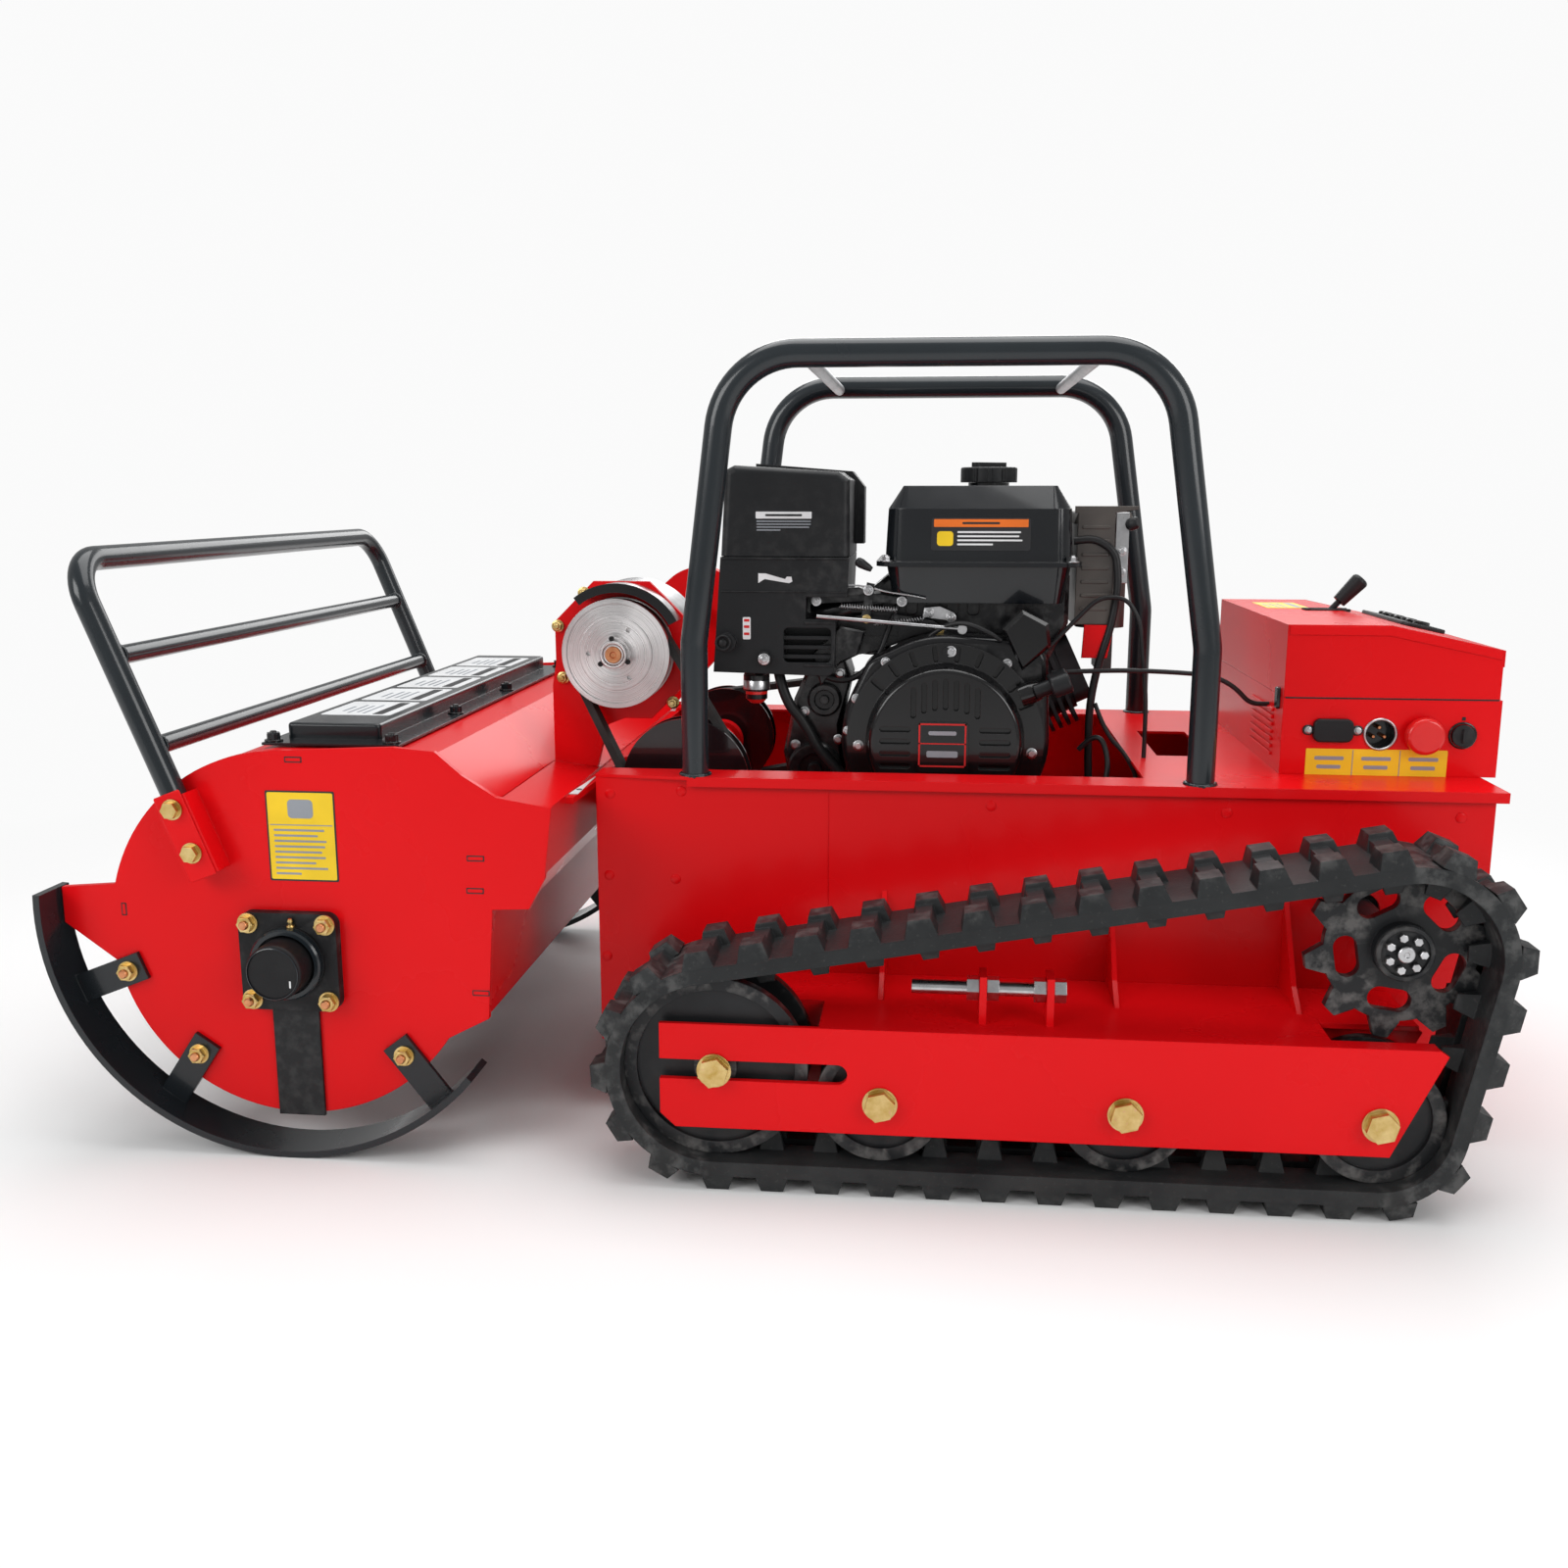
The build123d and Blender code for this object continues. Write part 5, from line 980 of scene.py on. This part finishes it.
def makeMufflerDress():
    look = {
        "y": -98.0, "chamfer": 0.5,
        "guard": ((356, 598), (402, 598), (402, 738), (430, 742), (430, 746), (352, 746),
                  (352, 738), (356, 738)),
        "louvres": 7, "louvre": (34, 4, 1.8), "firstLouvre": (379, 618), "louvreStep": 17,
        "shield": ((366, 556), (398, 556), (406, 598), (368, 598)),
        "bracket": (404, 420, 650, 738), "bracketBolts": (664, 690), "knob": (418, 722)}
    guard, shield, bracket, knobs = newMeshes(4)
    y, chamfer = look["y"], look["chamfer"]
    slab(guard, atDepth(y, *look["guard"]), (0, -2.0, 0), chamfer)
    x, z = look["firstLouvre"]
    for row in range(look["louvres"]):
        slab(guard, uprightOutline((x, y - 2.0, z + look["louvreStep"] * row), *look["louvre"]),
             (0, -1.4, 0), chamfer)
    slab(shield, atDepth(y - 4, *look["shield"]), (0, -3, 0), 0.8)
    slab(bracket, uprightBlock(y + 4, *look["bracket"]), (0, -2, 0), chamfer)
    boltSet(bracket, [(412, y + 2, z) for z in look["bracketBolts"]], sideward, 7, 4, 6, 1)
    x, z = look["knob"]
    lathe(knobs, [(0, 0), (6, 0), (8, 3), (8, 12), (6, 15), (0, 15)], (x, y + 6, z),
          (0.8, -0.5, 0.3), 24)
    finishAll("carrier", ("mufflerGuard", guard, hotSteel), ("mufflerShield", shield, redCoat),
              ("mufflerBracket", bracket, zincBright), ("ventKnob", knobs, blackPlastic))


def makeEngineFittings():
    look = {
        "fan": (195, -168, 459), "circle": 122, "turns": (28, 52, 128, 156, 176),
        "drain": (78, -120, 392), "drainAxis": (-0.4, -0.9, 0.2),
        "filler": (300, -120, 500), "fillerAxis": (0.7, -0.2, 0.7), "cup": (-48, -122, 511)}
    # pipes and leads that lie against the engine: radius and route
    leads = {
        "fuelHose": (3.6, [(-48, -122, 530), (-30, -128, 546), (20, -130, 540), (70, -128, 520),
                           (110, -126, 556), (120, -120, 590), (140, -112, 640)]),
        "coilLead": (3.0, [(262, -170, 584), (236, -172, 600), (206, -160, 606), (176, -150, 590),
                           (150, -146, 566)]),
        "groundLead": (3.4, [(300, -128, 372), (352, -138, 352), (392, -146, 380),
                             (404, -140, 428), (388, -128, 470), (366, -118, 440)]),
        "switchLead": (2.8, [(420, -118, 330), (446, -128, 392), (424, -134, 438),
                             (398, -128, 462), (384, -118, 500)])}
    plugs, bolts, cup, base = newMeshes(4)
    # flange bolts round the fan housing and the crankcase lid
    spots = [onCircle(*look["fan"], look["circle"], turn) for turn in look["turns"]]
    boltSet(bolts, spots, sideward, 7.5, 4, 6.2, 1.2)
    lathe(plugs, [(0, 0), (12, 0), (12, 14), (9, 17), (9, 22), (0, 22)], look["drain"],
          look["drainAxis"], 30)
    lathe(plugs, [(0, 0), (8.5, 0), (8.5, 20), (7, 24), (7, 40), (0, 40)], look["filler"],
          look["fillerAxis"], 28)
    lathe(cup, [(0, 0), (14.5, 0), (17.2, 3), (17.2, 14), (15.8, 16), (15.8, 20), (0, 20)],
          look["cup"], (0, 0, 1), 40)
    lathe(base, [(0, -16), (7, -16), (12, -12), (14.2, -3), (14.2, 0), (0, 0)], look["cup"],
          (0, 0, 1), 36)
    finishAll("carrier", ("housingBolts", bolts, zincBright, "zinc_steel"),
              ("oilPlugs", plugs, enginePaint), ("fuelCupBand", cup, zincBright),
              ("fuelCupBase", base, signalRed))
    for name, (radius, route) in leads.items():
        tubePiece(name, route, radius, cableSheath, "carrier")


def makeEngineMass():
    # shroud over the barrel, gear side of the crankcase, exhaust and intake elbows
    look = {
        "shroud": ((36, 592), (52, 552), (100, 560), (150, 578), (240, 578), (322, 548),
                   (348, 600), (348, 660), (120, 660), (96, 640), (44, 634)),
        "shroudY": -22, "shroudDepth": 88, "ribs": (150, 176, 202, 228),
        "gearSide": ((2, 345), (66, 345), (64, 400), (62, 470), (74, 530), (62, 566), (26, 560),
                     (0, 500), (-14, 430)),
        "gearY": -30, "gearDepth": 86,
        "exhaust": ((36, 520), (60, 548), (84, 560), (92, 590), (60, 596), (24, 560)),
        "exhaustY": -108, "exhaustDepth": 26,
        "bosses": (((28, -116, 408), 36), ((40, -116, 500), 22)),
        "bolts": ((2, -116, 440), (58, -116, 380), (58, -116, 448), (14, -116, 484),
                  (60, -116, 534)),
        "intake": ((20, -96, 610), (52, -104, 612), (80, -106, 622), (112, -104, 628)),
        "breather": ((-20, -116, 536), (-12, -124, 500), (16, -128, 470), (36, -130, 430),
                     (66, -128, 402))}
    shroud, lugs, bolts = newMeshes(3)
    slab(shroud, atDepth(look["shroudY"], *look["shroud"]), (0, -look["shroudDepth"], 0), 6)
    for x in look["ribs"]:
        slab(shroud, uprightOutline((x, -110, 630), 15, 40, 5), (0, -4, 0), 1)
    slab(lugs, atDepth(look["gearY"], *look["gearSide"]), (0, -look["gearDepth"], 0), 7)
    slab(lugs, atDepth(look["exhaustY"], *look["exhaust"]), (0, -look["exhaustDepth"], 0), 3)
    for spot, radius in look["bosses"]:
        lathe(lugs, [(0, 0), (radius, 0), (radius, 5), (radius - 3, 8), (radius * 0.6, 8),
                     (radius * 0.55, 4), (radius * 0.28, 4), (radius * 0.25, 10), (0, 10)],
              spot, sideward, 44)
    for place in look["bolts"]:
        boltSet(bolts, [place], sideward, 8, 4.5, 6.6, 1.2)
    finishAll("carrier", ("engineShroud", shroud, enginePaint), ("gearSide", lugs, enginePaint),
              ("gearSideBolts", bolts, zincBright, "zinc_steel"))
    tubePiece("intakeElbow", look["intake"], 15, enginePaint, "carrier")
    tubePiece("breatherHose", look["breather"], 7, cableSheath, "carrier")


for make in (makeFilterDress, makeLinkage, makeRecoilDress, makeTankDress, makeMufflerDress,
             makeEngineFittings, makeEngineMass):
    make()
print("engine dressed")


# control box

def makeBoxDress():
    look = {"y": -211.0, "labelX": (625.0, 788.0), "labelZ": (430.0, 462.5),
            "outlet": (709, -211.0, 481), "contacts": 7.4, "key": (803, -211.0, 481),
            "ears": (625.5, 682.5)}
    yellow, lines, steel, black, pins = newMeshes(5)
    y = look["y"]
    lowX, highX = look["labelX"]
    lowZ, highZ = look["labelZ"]
    slab(yellow, uprightOutline(((lowX + highX) / 2, y, (lowZ + highZ) / 2), highX - lowX,
                                highZ - lowZ, 1.5), (0, -0.5, 0))
    third = (highX - lowX) / 3
    for number in range(3):
        middle = lowX + third * (number + 0.5)
        for rise, reach in ((5.0, 34), (-5.5, 28)):
            slab(lines, uprightOutline((middle, y - 0.5, (lowZ + highZ) / 2 + rise), reach, 4.6,
                                       1.6), (0, -0.2, 0))
        if number:
            edge = lowX + third * number
            slab(lines, uprightBlock(y - 0.5, edge - 0.5, edge + 0.5, lowZ + 1, highZ - 1),
                 (0, -0.2, 0))
    # power outlet: collar, dark well and three contacts
    lathe(steel, [(16.6, 0), (19.6, 0), (19.6, 1.6), (18.6, 2.6), (17.4, 2.6), (16.6, 1.6),
                  (16.6, 0)], look["outlet"], sideward, 44)
    lathe(black, [(16.8, 0.4), (16.8, -16), (0, -16), (0, -17.5), (17.2, -17.5), (17.2, 0.4),
                  (16.8, 0.4)], look["outlet"], sideward, 44)
    for angle in (90, 210, 330):
        lathe(pins, [(0, -16), (2.6, -16), (2.6, -5), (1.6, -3.6), (0, -3.6)],
              onCircle(*look["outlet"], look["contacts"], angle), sideward, 16)
    # ears of the charging inlet, the collar of the key and a small tab above it
    for x in look["ears"]:
        slab(black, uprightOutline((x, y, 485), 13, 12, 5.5), (0, -2.2, 0), 0.6)
        boltSet(steel, [(x, y - 2.2, 485)], sideward, 5.4, 2.2, 4.4, 0.8)
    lathe(black, [(14.2, 0), (16.2, 0), (16.2, 1.4), (15.4, 2.0), (14.2, 2.0), (14.2, 0)],
          look["key"], sideward, 40)
    slab(black, uprightBlock(y, 801, 805, 499, 503), (0, -0.6, 0))
    # painted shadow: a black strip laid over the wall stands in for the shade in the gap under the
    # lid
    slab(black, uprightBlock(y + 0.6, 597, 841, 522.4, 524.2), (0, -0.9, 0))
    # latch on the front wall
    slab(black, roundedOutline((595, -188, 520), (0, 1, 0), (0, 0, 1), 14, 26, 3), (-4, 0, 0), 0.8)
    finishAll("carrier", ("boxLabel", yellow, labelYellow), ("boxLabelLines", lines, labelGrey),
              ("outletCollar", steel, zincBright), ("boxRubberAndGapShadow", black, glossPlastic),
              ("outletPins", pins, copperEnd))


def makeBoxLouvres():
    look = {"x": 595.0, "y": (-165.0, -40.0), "firstZ": 448.0, "step": 9.0, "count": 7}
    bm = bmesh.new()
    lowY, highY = look["y"]
    for row in range(look["count"]):
        z = look["firstZ"] + look["step"] * row
        slab(bm, roundedOutline((look["x"], (lowY + highY) / 2, z), (0, 1, 0), (0, 0, 1),
                                highY - lowY, 4.4, 2.1), (-2.6, 0, 0), 1.2)
    finishPiece("boxLouvres", bm, redCoat, "carrier")
    knuckles = bmesh.new()
    for y in (-150, 0, 150):
        lathe(knuckles, [(0, -26), (3.2, -26), (3.3, -9.2), (2.8, -9), (3.3, -8.8), (3.3, 8.8),
                         (2.8, 9), (3.3, 9.2), (3.2, 26), (0, 26)], (841.4, y, 523.3), (0, 1, 0),
              24)
    finishPiece("lidHinges", knuckles, zincBright, "carrier")


def makeLidDress():
    look = {
        "fold": (713.0, 610.0), "rear": (842.0, 582.0), "panelY": 55, "panelDown": 92,
        "panel": (56, 196, 9), "panelThick": 5, "dials": ((-64, 15), (-12, 15), (40, 15), (78, 9)),
        "sticker": (652, 92, 610), "stickerSize": (56, 100, 2),
        "lines": ((668, 92, 8, 80, 2), (652, 86, 3, 70, 1), (642, 86, 3, 76, 1),
                  (632, 86, 3, 48, 1)),
        "gasket": ((695, 11, 609.5, 58, 7), (695, 29, 609.5, 58, 7), (669.5, 20, 609.5, 7, 25),
                   (720.5, 20, 608.5, 7, 25)),
        "rearRim": ((-208, 562), (208, 562), (208, 581.5), (-208, 581.5)), "rearX": 842,
        "sideRim": ((597, 598), (597, 608.6), (712, 608.6), (840, 581), (840, 571), (711, 598)),
        "sideY": -211}
    foldX, foldZ = look["fold"]
    slope = Vector((look["rear"][0] - foldX, 0, look["rear"][1] - foldZ)).normalized()
    out = Vector((-slope.z, 0, slope.x))
    panelMiddle = Vector((foldX, look["panelY"], foldZ)) + slope * look["panelDown"]
    panel, dials, marks, sticker, gasket, rim = newMeshes(6)
    slab(panel, roundedOutline(panelMiddle, slope, (0, 1, 0), *look["panel"]),
         out * look["panelThick"], 1.6)
    for y, radius in look["dials"]:
        middle = panelMiddle + Vector((0, y, 0))
        lathe(dials, [(radius - 2.4, 0), (radius, 0), (radius, 3.2), (radius - 1, 4.2),
                      (radius - 2.4, 4.2), (radius - 2.8, 1.4), (0, 1.4)],
              middle + out * look["panelThick"], out, 34)
        slab(marks, roundedOutline(middle + out * 6.5, slope, (0, 1, 0), radius * 0.9, 1.4, 0.5),
             out * 0.4)
    slab(sticker, levelOutline(look["sticker"], *look["stickerSize"]), (0, 0, 0.5))
    for x, y, wide, deep, corner in look["lines"]:
        slab(marks, levelOutline((x, y, 610.5), wide, deep, corner), (0, 0, 0.2))
    # rubber frame round the lever's slot
    for x, y, z, wide, deep in look["gasket"]:
        slab(gasket, levelOutline((x, y, z), wide, deep, 2), (0, 0, 2.4), 0.7)
    slab(rim, [(look["rearX"], y, z) for y, z in look["rearRim"]], (2.8, 0, 0), 0.6)
    slab(rim, atDepth(look["sideY"], *look["sideRim"]), (0, -1.2, 0), 0.4)
    finishAll("control_lid", ("lidRim", rim, redCoat), ("lidPanel", panel, blackPlastic),
              ("lidDials", dials, glossPlastic), ("lidMarks", marks, labelGrey),
              ("lidSticker", sticker, labelYellow), ("leverGasket", gasket, beltFabric))


for make in (makeBoxDress, makeBoxLouvres, makeLidDress):
    make()
print("control box dressed")

# floor, light, camera

def makeFloor():
    look = {"size": 24.0, "dark": (0.82, 0.82, 0.82), "light": (0.87, 0.87, 0.87),
            "fade": (0.95, 2.3), "backdrop": (0.96, 0.96, 0.96)}
    mesh = bpy.data.meshes.new("studioFloor")
    floor = bpy.data.objects.new("studioFloor", mesh)
    bpy.context.scene.collection.objects.link(floor)
    bm = bmesh.new()
    bmesh.ops.create_grid(bm, x_segments=2, y_segments=2, size=look["size"] / 2)
    bm.to_mesh(mesh)
    bm.free()
    mat, tree, shader = newMaterial("floorPaint")
    coords = tree.nodes.new("ShaderNodeTexCoord")
    cloud = addNoise(tree, coords, 0.8, 3.0)
    tree.links.new(addRamp(tree, cloud, [(0.3, look["dark"]), (0.7, look["light"])]),
              shader.inputs["Base Color"])
    shader.inputs["Roughness"].default_value = 0.6
    shader.inputs["Specular IOR Level"].default_value = 0.2
    # away from the machine the floor fades into the backdrop
    flat = tree.nodes.new("ShaderNodeVectorMath")
    flat.operation = "LENGTH"
    tree.links.new(coords.outputs["Object"], flat.inputs[0])
    fade = mapRange(tree, flat.outputs["Value"], look["fade"][0], look["fade"][1],
                    0.0, 1.0)
    sight = tree.nodes.new("ShaderNodeLightPath")
    share = multiply(tree, fade, sight.outputs["Is Camera Ray"])
    glow = tree.nodes.new("ShaderNodeEmission")
    glow.inputs["Color"].default_value = (*look["backdrop"], 1.0)
    blend = tree.nodes.new("ShaderNodeMixShader")
    tree.links.new(share, blend.inputs[0])
    tree.links.new(shader.outputs[0], blend.inputs[1])
    tree.links.new(glow.outputs[0], blend.inputs[2])
    tree.links.new(blend.outputs[0], tree.nodes["Material Output"].inputs["Surface"])
    mesh.materials.append(mat)


def addArea(name, place, target, size, power):
    data = bpy.data.lights.new(name, "AREA")
    data.shape = "RECTANGLE"
    data.size, data.size_y = size
    data.energy = power
    lamp = bpy.data.objects.new(name, data)
    bpy.context.scene.collection.objects.link(lamp)
    lamp.location = place
    lamp.rotation_euler = (Vector(target) - Vector(place)).to_track_quat("-Z", "Y").to_euler()


makeFloor()
lampLook = {
    "topSoft": ((0.2, 0.2, 3.4), (0.1, 0.0, 0.3), (3.6, 2.6), 92.0),
    "leftFront": ((-2.6, -2.8, 2.0), (-0.2, 0.0, 0.4), (2.0, 1.6), 54.0),
    "rightFront": ((2.8, -2.6, 1.7), (0.3, 0.0, 0.4), (1.8, 1.5), 40.0),
    "backRim": ((0.6, 3.2, 2.2), (0.0, 0.0, 0.5), (3.0, 1.6), 45.0),
}
for lampName, (place, target, size, power) in lampLook.items():
    addArea(lampName, place, target, size, power)

# the backdrop seen by the camera is brighter than the light it gives
worldLook = {"light": 1.0, "strength": 0.46, "backdrop": 0.96}
world = bpy.context.scene.world or bpy.data.worlds.new("studio")
bpy.context.scene.world = world
world.use_nodes = True
worldNodes, worldLinks = world.node_tree.nodes, world.node_tree.links
given = worldNodes["Background"]
given.inputs["Color"].default_value = (*[worldLook["light"]] * 3, 1.0)
given.inputs["Strength"].default_value = worldLook["strength"]
seen = worldNodes.new("ShaderNodeBackground")
seen.inputs["Color"].default_value = (*[worldLook["backdrop"]] * 3, 1.0)
sight = worldNodes.new("ShaderNodeLightPath")
choose = worldNodes.new("ShaderNodeMixShader")
worldLinks.new(sight.outputs["Is Camera Ray"], choose.inputs[0])
worldLinks.new(given.outputs[0], choose.inputs[1])
worldLinks.new(seen.outputs[0], choose.inputs[2])
worldLinks.new(choose.outputs[0], worldNodes["World Output"].inputs["Surface"])
bpy.context.scene.view_settings.view_transform = "Standard"

cameraLook = {"sensor": 36.0, "lens": 33.75, "place": (0.183, -2.0, 0.7643), "tilt": 78.733,
              "turn": 5.941}
cameraData = bpy.data.cameras.new("mainCamera")
cameraData.sensor_width = cameraLook["sensor"]
cameraData.lens = cameraLook["lens"]
camera = bpy.data.objects.new("mainCamera", cameraData)
bpy.context.scene.collection.objects.link(camera)
camera.location = cameraLook["place"]
camera.rotation_euler = (math.radians(cameraLook["tilt"]), 0.0, math.radians(cameraLook["turn"]))
bpy.context.scene.camera = camera
print("floor, lights and camera set")
